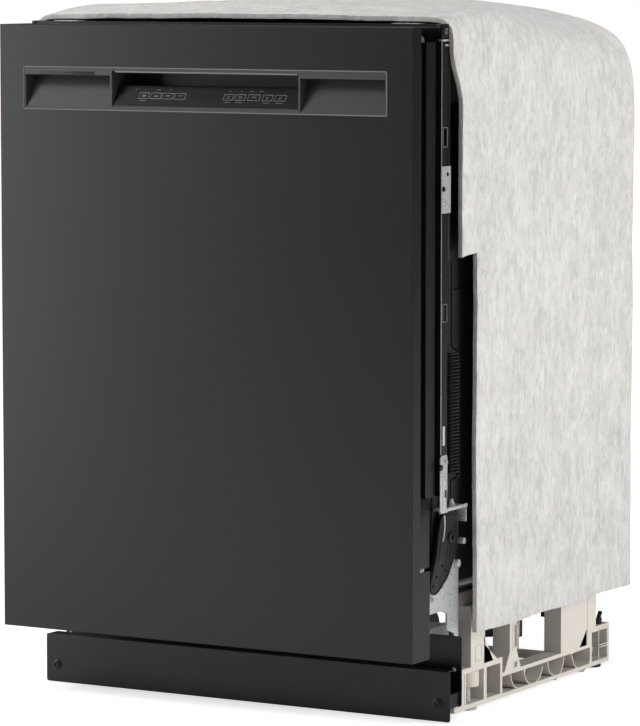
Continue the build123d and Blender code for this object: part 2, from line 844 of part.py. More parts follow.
with BuildPart() as rinse_aid_cap:
    cap_face = liner_back + dispenser_proud + 2.0
    cap_z = dispenser_middle[1]
    bar(cap_radius, (cap_x, liner_back + 4.3, cap_z), (cap_x, cap_face - 1.0, cap_z))
    block(
        (cap_x - cap_radius + 3.0, cap_x + cap_radius - 3.0),
        (cap_face - 1.0, cap_face + 1.0),
        (dispenser_middle[1] - 2.5, dispenser_middle[1] + 2.5),
    )
save(rinse_aid_cap.part, "rinse_aid_cap")

# ---------------------------------------------------------------- racks


def basket_wires(bottom, top, floor_rise):
    """Rails, uprights and floor wires of one rack, in the open part."""
    span = rack_back - rack_front
    x_pitch = (2 * rack_half - rack_wire) / 6
    for z in (bottom, top - rack_wire):
        for side in both_sides(rack_half - rack_wire, rack_half):
            block(side, (rack_front, rack_back), (z, z + rack_wire))
        for y in (rack_front, rack_back - rack_wire):
            block((-rack_half, rack_half), (y, y + rack_wire), (z, z + rack_wire))
    rise = top - bottom
    with Locations((0.0, (rack_front + rack_back) / 2, bottom + rise / 2)):
        with GridLocations(x_pitch, span - rack_wire, 7, 2):
            Box(rack_wire, rack_wire, rise)
        with GridLocations(2 * rack_half - rack_wire, rack_pitch, 2, 7):
            Box(rack_wire, rack_wire, rise)
    floor_middle = bottom + floor_rise + rack_wire / 2
    with Locations((0.0, (rack_front + rack_back) / 2, floor_middle)):
        with GridLocations(0.0, rack_pitch, 1, 7):
            Box(2 * rack_half - rack_wire, rack_wire, rack_wire)
        with GridLocations(x_pitch, 0.0, 7, 1):
            Box(rack_wire, span - rack_wire, rack_wire)


with BuildPart() as lower_rack:
    lower_floor = 6.0
    basket_wires(lower_rack_bottom, lower_rack_top, lower_floor)
    for side, tip in zip(both_sides(rack_half, rack_half + 3.0), both_sides(rack_half, rack_half + 18.0)):
        for y in (wheel_front_y, wheel_rear_y):
            block(side, (y - 7.0, y + 7.0), (wheel_height - 6.0, lower_rack_bottom + 12.0))
            bar(wheel_axle_radius, (tip[0], y, wheel_height), (tip[1], y, wheel_height))
save(lower_rack.part, "lower_rack")

for name, y in (("front", wheel_front_y), ("rear", wheel_rear_y)):
    with BuildPart() as rack_wheels:
        for inner, outer in both_sides(rack_half + 5.0, rack_half + 5.0 + wheel_width):
            bar(wheel_radius, (inner, y, wheel_height), (outer, y, wheel_height))
        bar(
            wheel_axle_radius + pin_clearance,
            (-half, y, wheel_height),
            (half, y, wheel_height),
            mode=Mode.SUBTRACT,
        )
    save(rack_wheels.part, f"lower_rack_wheels_{name}")

with BuildPart() as silverware_basket:
    basket_floor = lower_rack_bottom + lower_floor + rack_wire
    basket_y = (rack_front + rack_wire + 3.0, rack_front + rack_wire + 65.0)
    block((-150.0, 150.0), basket_y, (basket_floor, basket_floor + 110.0))
    for x in (-99.0, 0.0, 99.0):
        block(
            (x - 48.0, x + 48.0),
            (basket_y[0] + 2.5, basket_y[1] - 2.5),
            (basket_floor + 2.5, basket_floor + 111.0),
            mode=Mode.SUBTRACT,
        )
save(silverware_basket.part, "silverware_basket")

with BuildPart() as upper_rack:
    basket_wires(upper_rack_bottom, upper_rack_top, 2.0)
    for side in both_sides(rack_half, track_inner - 0.3):
        for y in (rack_front + rack_pitch, rack_back - rack_pitch):
            block(side, (y - 20.0, y + 20.0), (track_bottom, track_bottom + track_height))
    # water manifold along the middle, with the upper spray arm's post
    manifold_y = (upper_arm_y - 12.0, rack_back - 2.0)
    block((-12.0, 12.0), manifold_y, (upper_rack_bottom - 6.0, upper_rack_bottom + 3.0))
    bar(8.0, (0.0, upper_arm_y, upper_rack_bottom - 20.0), (0.0, upper_arm_y, upper_rack_bottom))
save(upper_rack.part, "upper_rack")

with BuildPart() as upper_rack_tracks:
    for side in both_sides(track_inner, track_inner + track_width):
        block(side, (rack_front, rack_back), (track_bottom, track_bottom + track_height))
    groove_z = (track_bottom + 3.0, track_bottom + track_height - 3.0)
    for side in both_sides(track_inner, track_inner + track_width - 3.0):
        block(side, (rack_front, rack_back), groove_z, mode=Mode.SUBTRACT)
save(upper_rack_tracks.part, "upper_rack_tracks")

with BuildPart() as tub_rollers:
    above = track_bottom + track_height + roller_radius + roller_gap
    below = track_bottom - roller_radius - roller_gap
    for inner, outer in both_sides(track_inner, track_inner + track_width):
        wall = tub_half - tub_wall if outer > 0 else tub_wall - tub_half
        for y in (rack_front + 25.0, rack_front + 100.0):
            for z in (above, below):
                bar(roller_radius, (inner, y, z), (outer, y, z))
                bar(3.0, (outer, y, z), (wall, y, z))
save(tub_rollers.part, "tub_rollers")

# ---------------------------------------------------------------- wash system

with BuildPart() as sump:
    bar(sump_radius, (0.0, arm_centre_y, sump_bottom), (0.0, arm_centre_y, tub_floor))
    bar(sump_radius + 12.0, (0.0, arm_centre_y, tub_floor - 4.0), (0.0, arm_centre_y, tub_floor))
    bar(
        sump_radius - sump_wall,
        (0.0, arm_centre_y, sump_bottom + sump_wall),
        (0.0, arm_centre_y, tub_floor + 1.0),
        mode=Mode.SUBTRACT,
    )
    bar(hub_radius, (0.0, arm_centre_y, sump_bottom), (0.0, arm_centre_y, tub_floor + 22.0))
    bar(
        hub_radius - sump_wall,
        (0.0, arm_centre_y, sump_bottom + sump_wall),
        (0.0, arm_centre_y, tub_floor + 23.0),
        mode=Mode.SUBTRACT,
    )
save(sump.part, "sump")

cup_x = cup_offset[0]
cup_y = arm_centre_y + cup_offset[1]
plate_bottom = tub_floor + tub_wall
with BuildPart() as filter_plate:
    bar(plate_radius, (0.0, arm_centre_y, plate_bottom), (0.0, arm_centre_y, plate_bottom + 2.0))
    bar(
        hub_radius + hub_gap,
        (0.0, arm_centre_y, plate_bottom - 1.0),
        (0.0, arm_centre_y, plate_bottom + 3.0),
        mode=Mode.SUBTRACT,
    )
    bar(
        cup_radius + hub_gap,
        (cup_x, cup_y, plate_bottom - 1.0),
        (cup_x, cup_y, plate_bottom + 3.0),
        mode=Mode.SUBTRACT,
    )
save(filter_plate.part, "filter_plate")

with BuildPart() as filter_cup:
    bar(cup_radius, (cup_x, cup_y, sump_bottom + 10.0), (cup_x, cup_y, plate_bottom + 12.0))
    bar(
        cup_radius - 2.0,
        (cup_x, cup_y, sump_bottom + 12.0),
        (cup_x, cup_y, plate_bottom + 13.0),
        mode=Mode.SUBTRACT,
    )
    grip_x = (cup_x - cup_radius + 1.0, cup_x + cup_radius - 1.0)
    block(grip_x, (cup_y - 2.0, cup_y + 2.0), (plate_bottom + 6.0, plate_bottom + 12.0))
save(filter_cup.part, "filter_cup")

with BuildPart() as lower_spray_arm:
    arm_floor = tub_floor + 23.0
    with BuildSketch(Plane.XY.offset(arm_floor)):
        with Locations((0.0, arm_centre_y)):
            SlotOverall(2 * lower_arm_reach, 36.0)
            Circle(32.0)
    extrude(amount=10.0)
    bar(hub_radius + 4.0, (0.0, arm_centre_y, arm_floor - 8.0), (0.0, arm_centre_y, arm_floor))
    bar(
        hub_radius + hub_gap,
        (0.0, arm_centre_y, arm_floor - 9.0),
        (0.0, arm_centre_y, arm_floor + 2.0),
        mode=Mode.SUBTRACT,
    )
save(lower_spray_arm.part, "lower_spray_arm")

with BuildPart() as upper_spray_arm:
    upper_arm_floor = upper_rack_bottom - 22.0
    with BuildSketch(Plane.XY.offset(upper_arm_floor)):
        with Locations((0.0, upper_arm_y)):
            SlotOverall(2 * upper_arm_reach, 32.0)
            Circle(26.0)
    extrude(amount=10.0)
    bar(
        8.0 + hub_gap,
        (0.0, upper_arm_y, upper_arm_floor + 1.7),
        (0.0, upper_arm_y, upper_arm_floor + 11.0),
        mode=Mode.SUBTRACT,
    )
save(upper_spray_arm.part, "upper_spray_arm")

with BuildPart() as feed_tube:
    tube_back = tub_back - tub_wall
    block((-18.0, 18.0), (tube_back - 14.0, tube_back), (tub_floor + tub_wall, tub_top - 30.0))
    block((-12.0, 12.0), (upper_arm_y, tube_back - 14.0), (tub_top - 38.0, tub_top - 30.0))
    bar(40.0, (0.0, upper_arm_y, tub_top - 44.0), (0.0, upper_arm_y, tub_top - 30.0))
save(feed_tube.part, "feed_tube")

with BuildPart() as heating_element:
    with BuildLine(Plane.XY.offset(heater_height)) as heater_path:
        FilletPolyline(
            (40.0, arm_centre_y + heater_half),
            (heater_half, arm_centre_y + heater_half),
            (heater_half, arm_centre_y - heater_half),
            (-heater_half, arm_centre_y - heater_half),
            (-heater_half, arm_centre_y + heater_half),
            (-40.0, arm_centre_y + heater_half),
            radius=70.0,
        )
    with BuildSketch(Plane(origin=heater_path.line @ 0, z_dir=heater_path.line % 0)):
        Circle(heater_rod)
    sweep()
    heater_back = arm_centre_y + heater_half
    for x in (-40.0, 40.0):
        bar(6.0, (x, heater_back, tub_floor + tub_wall), (x, heater_back, heater_height + 4.0))
save(heating_element.part, "heating_element")

with BuildPart() as overfill_float:
    bar(3.0, (float_x, float_y, tub_floor + tub_wall + 0.3), (float_x, float_y, tub_floor + 14.0))
    bar(12.0, (float_x, float_y, tub_floor + 10.0), (float_x, float_y, tub_floor + 23.0))
save(overfill_float.part, "overfill_float")

pump_height = 66.0
wash_pump_y = arm_centre_y + 50.0
drain_pump_y = arm_centre_y + 20.0
with BuildPart() as wash_pump:
    bar(38.0, (-190.0, wash_pump_y, pump_height), (-75.0, wash_pump_y, pump_height))
    bar(24.0, (-75.0, wash_pump_y, pump_height), (-45.0, wash_pump_y, pump_height))
    bar(14.0, (-60.0, wash_pump_y, pump_height), (-60.0, wash_pump_y, sump_bottom))
save(wash_pump.part, "wash_pump")

with BuildPart() as drain_pump:
    bar(25.0, (50.0, drain_pump_y, pump_height), (125.0, drain_pump_y, pump_height))
    bar(12.0, (65.0, drain_pump_y, pump_height), (65.0, drain_pump_y, sump_bottom))
    bar(11.0, (110.0, drain_pump_y, pump_height - 6.0), (150.0, base_back - 40.0, 43.0))
    block((135.0, 167.0), (base_back - 40.0, base_back - 24.0), (31.0, 54.0))
save(drain_pump.part, "drain_pump")

with BuildPart() as inlet_valve:
    valve_x = rails_inner - 36.0
    valve_y = base_back - 58.0
    block((valve_x - 13.0, valve_x + 13.0), (valve_y - 2.0, valve_y), (67.0, base_deck + 10.0))
    block((valve_x - 11.0, valve_x + 11.0), (valve_y, valve_y + 34.0), (67.0, 95.0))
    bar(9.5, (valve_x, valve_y + 34.0, 78.0), (valve_x, valve_y + 48.0, 78.0))
save(inlet_valve.part, "inlet_valve")

with BuildPart() as junction_box:
    box_x = rails_inner - 72.0
    box_y = base_front + 57.0
    block((box_x - 40.0, box_x + 40.0), (box_y - 35.0, box_y + 35.0), (60.0, 102.0))
    block((box_x - 38.0, box_x + 38.0), (box_y - 33.0, box_y + 33.0), (62.0, 100.0), mode=Mode.SUBTRACT)
    block((box_x - 10.0, box_x + 10.0), (box_y - 27.0, box_y - 25.0), (102.0, tub_floor))
save(junction_box.part, "junction_box")
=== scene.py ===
import json
import math

import bpy
import numpy as np
from bpy.props import FloatProperty, FloatVectorProperty, IntProperty, PointerProperty
from mathutils import Matrix, Vector, noise


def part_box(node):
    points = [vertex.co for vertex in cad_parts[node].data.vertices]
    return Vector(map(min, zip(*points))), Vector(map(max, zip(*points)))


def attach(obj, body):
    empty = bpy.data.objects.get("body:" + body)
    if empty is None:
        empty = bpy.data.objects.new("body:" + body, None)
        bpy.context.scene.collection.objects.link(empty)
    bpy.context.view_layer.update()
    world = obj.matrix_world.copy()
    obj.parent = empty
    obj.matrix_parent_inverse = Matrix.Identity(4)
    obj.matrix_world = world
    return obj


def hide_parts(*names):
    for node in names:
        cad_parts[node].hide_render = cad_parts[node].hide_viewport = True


bl_info = {
    "name": "Built-in dishwasher",
    "version": (1, 0, 0),
    "blender": (4, 5, 0),
    "location": "3D View > Sidebar > Dishwasher",
    "description": "Finishes and detailed pieces for a built-in dishwasher round its engineering model",
    "category": "Object",
}

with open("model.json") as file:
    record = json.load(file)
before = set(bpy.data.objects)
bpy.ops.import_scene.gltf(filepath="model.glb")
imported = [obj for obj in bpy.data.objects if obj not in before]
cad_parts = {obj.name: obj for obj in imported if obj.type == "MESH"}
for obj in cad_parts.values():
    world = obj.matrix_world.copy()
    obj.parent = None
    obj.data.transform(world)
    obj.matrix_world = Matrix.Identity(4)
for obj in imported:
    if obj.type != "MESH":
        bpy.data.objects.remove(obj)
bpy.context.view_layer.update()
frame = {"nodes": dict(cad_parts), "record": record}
MM = 0.001
ACROSS = (1.0, 0.0, 0.0)  # from the left side of the machine to the right
UPWARDS = (0.0, 0.0, 1.0)
KEYS = ("heavy", "normal", "light", "rinse", "heat", "delay", "lock", "start", "cancel")
SLOTS = {row["node"]: row["material_slot"] for row in frame["record"]["subparts"]}


# ------------------------------------------------------------------ sizes and colours


def length(name, description, default):
    """A size in metres that shows in the sidebar."""
    return FloatProperty(name=name, description=description, default=default, unit="LENGTH", precision=4)


def colour(name, description, default):
    """A colour that shows in the sidebar, in linear light."""
    return FloatVectorProperty(
        name=name, description=description, default=default, subtype="COLOR", min=0, max=1
    )


class FinishColours(bpy.types.PropertyGroup):
    """Base colours of the finishes."""

    panel: colour("Door paint", "Satin paint of the door and toe panel", (0.008, 0.008, 0.0085))
    steel: colour("Black steel", "Painted frame and hinge parts", (0.007, 0.007, 0.0075))
    felt: colour("Felt", "Fibres of the blanket", (0.70, 0.68, 0.662))
    felt_shade: colour("Felt shade", "Hollows between the fibres", (0.46, 0.445, 0.43))
    base: colour("Base plastic", "Moulded base", (0.74, 0.695, 0.63))
    zinc: colour("Zinc", "Galvanised hinge plates", (0.62, 0.63, 0.64))
    tub: colour("Tub steel", "Brushed stainless tub", (0.60, 0.59, 0.57))
    rack: colour("Rack coating", "Nylon over the rack wires", (0.30, 0.32, 0.34))


class BlanketSizes(bpy.types.PropertyGroup):
    """Shape of the felt blanket."""

    wall: length("Wall", "Thickness of the felt", 6.0 * MM)
    cell: length("Cell", "Size of the mesh cells", 9.0 * MM)
    notch_top: length("Notch top", "Height where the side is cut back for the door spring", 582.0 * MM)
    notch_depth: length("Notch depth", "How far the side is cut back", 40.0 * MM)
    front_slack: length("Front slack", "How far the front edge draws back down the side", 12.0 * MM)
    front_top: length("Front top", "Height of the blanket where it meets the tub frame", 879.0 * MM)
    front_lead: length("Front lead", "Reach of the front edge towards the flange at the top", 11.3 * MM)
    front_rise: length("Front rise", "Depth over which the top rises to its crown", 150.0 * MM)
    front_sag: length("Front sag", "Fall of the top from middle to side at the front", 2.0 * MM)
    rear_sag: length("Rear sag", "Fall of the top from middle to side at the rear", 44.0 * MM)
    front_corner: length("Front corner", "Softness of the top corners at the front", 13.0 * MM)
    rear_corner: length("Rear corner", "Softness of the top corners at the rear", 46.0 * MM)
    back_round: length("Back rounding", "Rounding of the back edges", 42.0 * MM)
    waviness: length("Waviness", "Height of the loose waves in the felt", 2.4 * MM)
    hem_wave: length("Hem wave", "Rise and fall of the bottom hem", 5.0 * MM)


class SpringSizes(bpy.types.PropertyGroup):
    """The two door springs."""

    wire: length("Wire radius", "Radius of the spring wire", 1.7 * MM)
    link: length("Link radius", "Radius of the rod above and below the coil", 1.4 * MM)
    coil: length("Coil radius", "Outer radius of the coil", 11.0 * MM)
    coil_low: length("Coil foot", "Height of the first turn", 312.0 * MM)
    coil_high: length("Coil head", "Height of the last turn", 465.0 * MM)
    turns: IntProperty(name="Turns", description="Turns in each coil", default=36, min=4)


class ConsoleSizes(bpy.types.PropertyGroup):
    """Lines and marks of the handle pocket."""

    tilt: FloatProperty(name="Tilt", description="Tilt of the keys from upright, in degrees", default=33.0)
    outline: length("Outline", "Radius of the printed outlines", 0.28 * MM)
    # trim and lip size the light grey lines that paint highlights on the pocket's edges
    trim: length("Trim", "Radius of the pocket's painted edge highlight", 0.8 * MM)
    lip: length("Lip", "Radius of the grip's painted edge highlight", 1.1 * MM)


class RackSizes(bpy.types.PropertyGroup):
    """Wire baskets."""

    rim: length("Rim radius", "Radius of the rim wires", 2.6 * MM)
    wire: length("Wire radius", "Radius of the basket wires", 1.5 * MM)
    bend: length("Bend", "Radius of the wire bends", 14.0 * MM)
    tine: length("Tine", "Height of the plate holders", 62.0 * MM)


class StageSizes(bpy.types.PropertyGroup):
    """Camera and floor."""

    azimuth: FloatProperty(
        name="Azimuth", description="Camera's turn from the front, in degrees", default=29.81
    )
    elevation: FloatProperty(
        name="Elevation", description="Camera's height angle, in degrees", default=5.69
    )
    distance: length("Distance", "Camera to aim point", 5.3335)
    lens: FloatProperty(name="Lens", description="Focal length in millimetres", default=199.1)
    aim: FloatVectorProperty(
        name="Aim",
        description="Point that the camera looks at",
        default=(-0.00614, -0.009, 0.42122),
        subtype="XYZ",
    )


GROUPS = {
    "dishwasher_colours": FinishColours,
    "dishwasher_blanket": BlanketSizes,
    "dishwasher_springs": SpringSizes,
    "dishwasher_console": ConsoleSizes,
    "dishwasher_racks": RackSizes,
    "dishwasher_stage": StageSizes,
}


# ------------------------------------------------------------------ finishes


class Value:
    """A number or colour that nodes work out. Arithmetic on it adds Math nodes."""

    def __init__(self, finish, output):
        self.finish = finish
        self.output = output

    def math(self, operation, first, second):
        return self.finish.node("ShaderNodeMath", {"operation": operation}, {0: first, 1: second})

    def __add__(self, other):
        return self.math("ADD", self, other)

    __radd__ = __add__

    def __mul__(self, other):
        return self.math("MULTIPLY", self, other)

    __rmul__ = __mul__


class Finish:
    """One procedural material while its nodes are being put together."""

    def __init__(self, name, fixed):
        self.material = bpy.data.materials.new(name)
        self.material.use_nodes = True
        self.tree = self.material.node_tree
        self.shader = self.tree.nodes["Principled BSDF"]
        self.place = self.node("ShaderNodeTexCoord", output="Object")
        for socket, value in fixed.items():
            self.set(socket, value)

    def node(self, kind, settings=None, sockets=None, output=0):
        """Adds a node: first its settings, then the values or links of its sockets."""
        made = self.tree.nodes.new(kind)
        for name, value in (settings or {}).items():
            if name == "stops":
                low, high = made.color_ramp.elements
                low.position, high.position = value
            else:
                setattr(made, name, value)
        for name, value in (sockets or {}).items():
            self.feed(made.inputs[name], value)
        return Value(self, made.outputs[output])

    def feed(self, socket, value):
        if isinstance(value, Value):
            self.tree.links.new(value.output, socket)
        elif socket.type == "RGBA":
            socket.default_value = (*value, 1.0)
        else:
            socket.default_value = value

    def set(self, socket, value):
        """A fixed number or colour, or a worked-out one, on the shader."""
        self.feed(self.shader.inputs[socket], value)

    def stretched(self, stretch):
        """Place on the object, scaled along each axis."""
        return self.node("ShaderNodeVectorMath", {"operation": "MULTIPLY"}, {0: self.place, 1: stretch})

    def clouds(self, stretch, detail=3.0, roughness=0.55, distortion=0.0):
        """Soft noise from 0 to 1, with this many features to the metre along each axis."""
        sockets = {
            "Vector": self.stretched(stretch),
            "Scale": 1.0,
            "Detail": detail,
            "Roughness": roughness,
            "Distortion": distortion,
        }
        return self.node("ShaderNodeTexNoise", sockets=sockets)

    def steps(self, value, low, high):
        """A value stretched so that low becomes 0 and high becomes 1."""
        return self.node("ShaderNodeValToRGB", {"stops": (low, high)}, {0: value})

    def mix(self, first, second, factor):
        """A colour between two."""
        return self.node("ShaderNodeMix", {"data_type": "RGBA"}, {0: factor, 6: first, 7: second}, output=2)

    def bump(self, height, distance, strength=1.0, soft_edge=0.0):
        """Relief of a height in metres, with softened edges where wanted."""
        sockets = {"Height": height, "Distance": distance, "Strength": strength}
        if soft_edge:
            sockets["Normal"] = self.node("ShaderNodeBevel", {"samples": 4}, {"Radius": soft_edge})
        self.set("Normal", self.node("ShaderNodeBump", sockets=sockets))


def even(size):
    """The same number along all three axes, or a grey of that lightness."""
    return (size, size, size)


def door_paint(colours):
    """Satin powder paint with a fine orange peel."""
    made = Finish("satin_black_paint", {"Base Color": colours.panel, "Specular IOR Level": 0.5})
    peel = made.clouds(even(650.0), detail=2.0)
    made.set("Roughness", 0.33 + 0.05 * made.clouds(even(6.0), detail=2.0))
    made.bump(peel, 0.00006, soft_edge=0.0012)
    return made.material


def black_steel(colours):
    """Semi-gloss painted steel, a little scuffed."""
    made = Finish("black_painted_steel", {})
    scuff = made.steps(made.clouds((40.0, 40.0, 160.0), detail=5.0, roughness=0.7), 0.62, 0.78)
    made.set("Base Color", made.mix(colours.steel, (0.05, 0.05, 0.05), 0.5 * scuff))
    made.set("Roughness", 0.30 + 0.14 * made.clouds(even(35.0)))
    made.bump(made.clouds(even(420.0), detail=2.0), 0.00008, soft_edge=0.0008)
    return made.material


def galvanised(colours):
    """Zinc-coated sheet with spangle."""
    made = Finish("galvanised_sheet", {"Metallic": 0.5})
    spangle = made.node("ShaderNodeTexVoronoi", {}, {"Vector": made.place, "Scale": 620.0}, output="Color")
    grey = made.node("ShaderNodeRGBToBW", sockets={0: spangle})
    dull = tuple(0.88 * part for part in colours.zinc)
    made.set("Base Color", made.mix(dull, tuple(colours.zinc), grey))
    made.set("Roughness", 0.24 + 0.16 * grey)
    made.bump(made.clouds(even(300.0)), 0.00005, soft_edge=0.0006)
    return made.material


def stainless(colours):
    """Brushed stainless sheet, with the brushing along its length."""
    made = Finish("brushed_stainless", {"Metallic": 0.6})
    brush = made.clouds((1500.0, 12.0, 1500.0), detail=2.0)
    dull = tuple(0.85 * part for part in colours.tub)
    made.set("Base Color", made.mix(dull, tuple(colours.tub), brush))
    made.set("Roughness", 0.24 + 0.14 * brush)
    made.bump(brush, 0.00002, soft_edge=0.0008)
    return made.material


def base_plastic(colours):
    """Beige talc-filled plastic with a moulded grain."""
    made = Finish("beige_moulded_plastic", {})
    flow = made.clouds((9.0, 5.0, 20.0), detail=4.0)
    shade = tuple(0.86 * part for part in colours.base)
    made.set("Base Color", made.mix(shade, tuple(colours.base), flow))
    made.set("Roughness", 0.46 + 0.12 * flow)
    made.bump(made.clouds(even(500.0), detail=2.0), 0.00012, soft_edge=0.0010)
    return made.material


def plain_plastic(name, base, roughness, grain=0.00010, size=480.0, coat=0.0):
    """Moulded plastic: an even grain and faint flow clouds."""
    made = Finish(name, {"Coat Weight": coat, "Coat Roughness": 0.05})
    flow = made.clouds(even(14.0), detail=3.0)
    made.set("Base Color", made.mix(tuple(0.88 * part for part in base), base, flow))
    made.set("Roughness", roughness + 0.08 * flow)
    made.bump(made.clouds(even(size), detail=2.0), grain, soft_edge=0.0007)
    return made.material


def black_plastic(colours):
    """Textured black plastic."""
    return plain_plastic("black_moulded_plastic", (0.014, 0.014, 0.015), 0.42)


def pocket_plastic_painted_reflection(colours):
    """Black plastic of the handle pocket, lightened to charcoal as a painted reflection on its wings."""
    return plain_plastic("black_plastic_painted_reflection", (0.055, 0.055, 0.057), 0.44)


def gloss_black(colours):
    """Smooth panel film over the display and the keys."""
    made = Finish("console_film", {"Base Color": (0.009, 0.009, 0.010)})
    made.set("Roughness", 0.30 + 0.04 * made.clouds(even(30.0)))
    made.bump(made.clouds(even(900.0), detail=1.0), 0.00002)
    return made.material


def display_glass(colours):
    """Dark pane over the display."""
    made = Finish("display_pane", {"Base Color": (0.003, 0.003, 0.004)})
    made.set("Roughness", 0.42 + 0.04 * made.clouds(even(40.0)))
    made.bump(made.clouds(even(900.0), detail=1.0), 0.00001)
    return made.material


def rack_nylon(colours):
    """Nylon dip coat on wire."""
    made = Finish("rack_coating", {})
    flow = made.clouds(even(60.0), detail=2.0)
    made.set("Base Color", made.mix(tuple(0.85 * part for part in colours.rack), tuple(colours.rack), flow))
    made.set("Roughness", 0.32 + 0.1 * flow)
    made.bump(made.clouds(even(260.0), detail=2.0), 0.0001)
    return made.material


def grey_plastic(colours):
    """Mid-grey plastic of rollers, arms and the cutlery basket."""
    return plain_plastic("grey_moulded_plastic", (0.22, 0.23, 0.24), 0.38)


def light_plastic(colours):
    """Light grey plastic of the dispenser and the caps."""
    return plain_plastic("light_moulded_plastic", (0.52, 0.53, 0.54), 0.34)


def seal_rubber(colours):
    """Matt black rubber."""
    return plain_plastic("seal_rubber", (0.02, 0.02, 0.02), 0.68, grain=0.0002, size=300.0)


def board_green(colours):
    """Circuit board with faint copper runs under its lacquer."""
    made = Finish("circuit_board", {})
    grid = {"Vector": made.stretched(even(1.0)), "Scale": 90.0}
    runs = made.node("ShaderNodeTexBrick", {"offset": 0.5}, grid, output="Fac")
    made.set("Base Color", made.mix((0.01, 0.07, 0.03), (0.05, 0.16, 0.07), runs))
    made.set("Roughness", 0.35 + 0.1 * made.clouds(even(50.0)))
    made.bump(runs, 0.0001)
    return made.material


def heater_metal(colours):
    """Heat-tinted metal sheath."""
    made = Finish("heater_sheath", {"Metallic": 1.0})
    tint = made.clouds(even(30.0), detail=4.0)
    made.set("Base Color", made.mix((0.22, 0.19, 0.17), (0.38, 0.34, 0.29), tint))
    made.set("Roughness", 0.36 + 0.2 * tint)
    made.bump(made.clouds(even(400.0)), 0.0001)
    return made.material


def felt(colours):
    """Pressed cotton felt: upright streaks, mottling and loose fibres."""
    made = Finish("cotton_felt", {"Roughness": 0.95, "Specular IOR Level": 0.15, "Sheen Weight": 0.25})
    streak = made.clouds((105.0, 105.0, 52.0), detail=4.0, roughness=0.62, distortion=0.7)
    mottle = made.clouds((30.0, 30.0, 17.0), detail=5.0, roughness=0.66)
    fibre = made.clouds((520.0, 520.0, 190.0), detail=3.0, roughness=0.7)
    patch = made.clouds(even(5.0), detail=2.0)
    depth = made.steps(0.42 * streak + 0.28 * mottle + 0.22 * fibre + 0.08 * patch, 0.36, 0.58)
    made.set("Base Color", made.mix(colours.felt_shade, colours.felt, depth))
    made.bump(0.5 * streak + 0.2 * mottle + 0.3 * fibre, 0.0042, strength=0.75)
    return made.material


# the console housing gets a lighter finish of its own: a painted reflection on the pocket's wings
NODE_FINISHES = {"display_window": "display", "console_housing": "housing"}
FINISHES = {
    "display": display_glass,
    "housing": pocket_plastic_painted_reflection,
    "black_panel": door_paint,
    "black_steel": black_steel,
    "galvanised_steel": galvanised,
    "stainless": stainless,
    "beige_plastic": base_plastic,
    "black_plastic": black_plastic,
    "gloss_black": gloss_black,
    "felt": felt,
    "rack_nylon": rack_nylon,
    "grey_plastic": grey_plastic,
    "light_plastic": light_plastic,
    "seal_rubber": seal_rubber,
    "board_green": board_green,
    "heater_metal": heater_metal,
}
finished = {}


def finish_for(slot):
    """The material of a slot, made the first time that it is asked for."""
    if slot not in finished:
        finished[slot] = FINISHES[slot](bpy.context.scene.dishwasher_colours)
    return finished[slot]


# ------------------------------------------------------------------ modelling helpers


def clear_selection():
    """Nothing selected, in object mode."""
    bpy.ops.object.select_all(action="DESELECT")


def only(piece):
    """Selects one piece and makes it active."""
    clear_selection()
    piece.select_set(True)
    bpy.context.view_layer.objects.active = piece


def edit(piece, *steps):
    """Runs edit-mode steps on the whole of a piece."""
    only(piece)
    bpy.ops.object.mode_set(mode="EDIT")
    bpy.ops.mesh.select_all(action="SELECT")
    for step in steps:
        step()
    bpy.ops.object.mode_set(mode="OBJECT")


def apply(piece, kind, **settings):
    """Adds a modifier with these settings and applies it."""
    only(piece)
    modifier = piece.modifiers.new(kind.lower(), kind)
    for name, value in settings.items():
        setattr(modifier, name, value)
    bpy.ops.object.modifier_apply(modifier=modifier.name)


def slab(low, high, edge=0.0005):
    """A block between two corners with rounded edges."""
    low, high = Vector(low), Vector(high)
    clear_selection()
    bpy.ops.mesh.primitive_cube_add(size=1.0, location=(low + high) / 2)
    piece = bpy.context.object
    piece.scale = [abs(part) for part in high - low]
    bpy.ops.object.transform_apply(location=True, rotation=True, scale=True)
    limit = min(abs(part) for part in high - low) * 0.4
    edit(piece, lambda: bpy.ops.mesh.bevel(offset=min(edge, limit), segments=2, affect="EDGES"))
    return piece


def rod(start, end, radius, edge=0.0004, sides=24):
    """A round bar between two points with eased ends."""
    start, end = Vector(start), Vector(end)
    clear_selection()
    bpy.ops.mesh.primitive_cylinder_add(
        vertices=sides,
        radius=radius,
        depth=(end - start).length,
        location=(start + end) / 2,
        rotation=(end - start).to_track_quat("Z", "Y").to_euler(),
    )
    piece = bpy.context.object
    bpy.ops.object.transform_apply(location=True, rotation=True, scale=True)
    apply(piece, "BEVEL", width=edge, segments=2, limit_method="ANGLE", angle_limit=math.radians(50))
    return piece


def from_points(name, points, faces):
    """A new mesh object."""
    mesh = bpy.data.meshes.new(name)
    mesh.from_pydata([tuple(point) for point in points], [], faces)
    piece = bpy.data.objects.new(name, mesh)
    bpy.context.scene.collection.objects.link(piece)
    return piece


def plate(outline, x_low, x_high, edge=0.0005):
    """A plate with an outline of (y, z) points, between two values of x."""
    count = len(outline)
    points = [(x, y, z) for x in (x_low, x_high) for y, z in outline]
    ring = [(i, (i + 1) % count, count + (i + 1) % count, count + i) for i in range(count)]
    piece = from_points("plate", points, [tuple(range(count)), tuple(range(count, 2 * count)), *ring])
    edit(piece, lambda: bpy.ops.mesh.normals_make_consistent(inside=False))
    apply(piece, "BEVEL", width=edge, segments=2, limit_method="ANGLE", angle_limit=math.radians(40))
    return piece


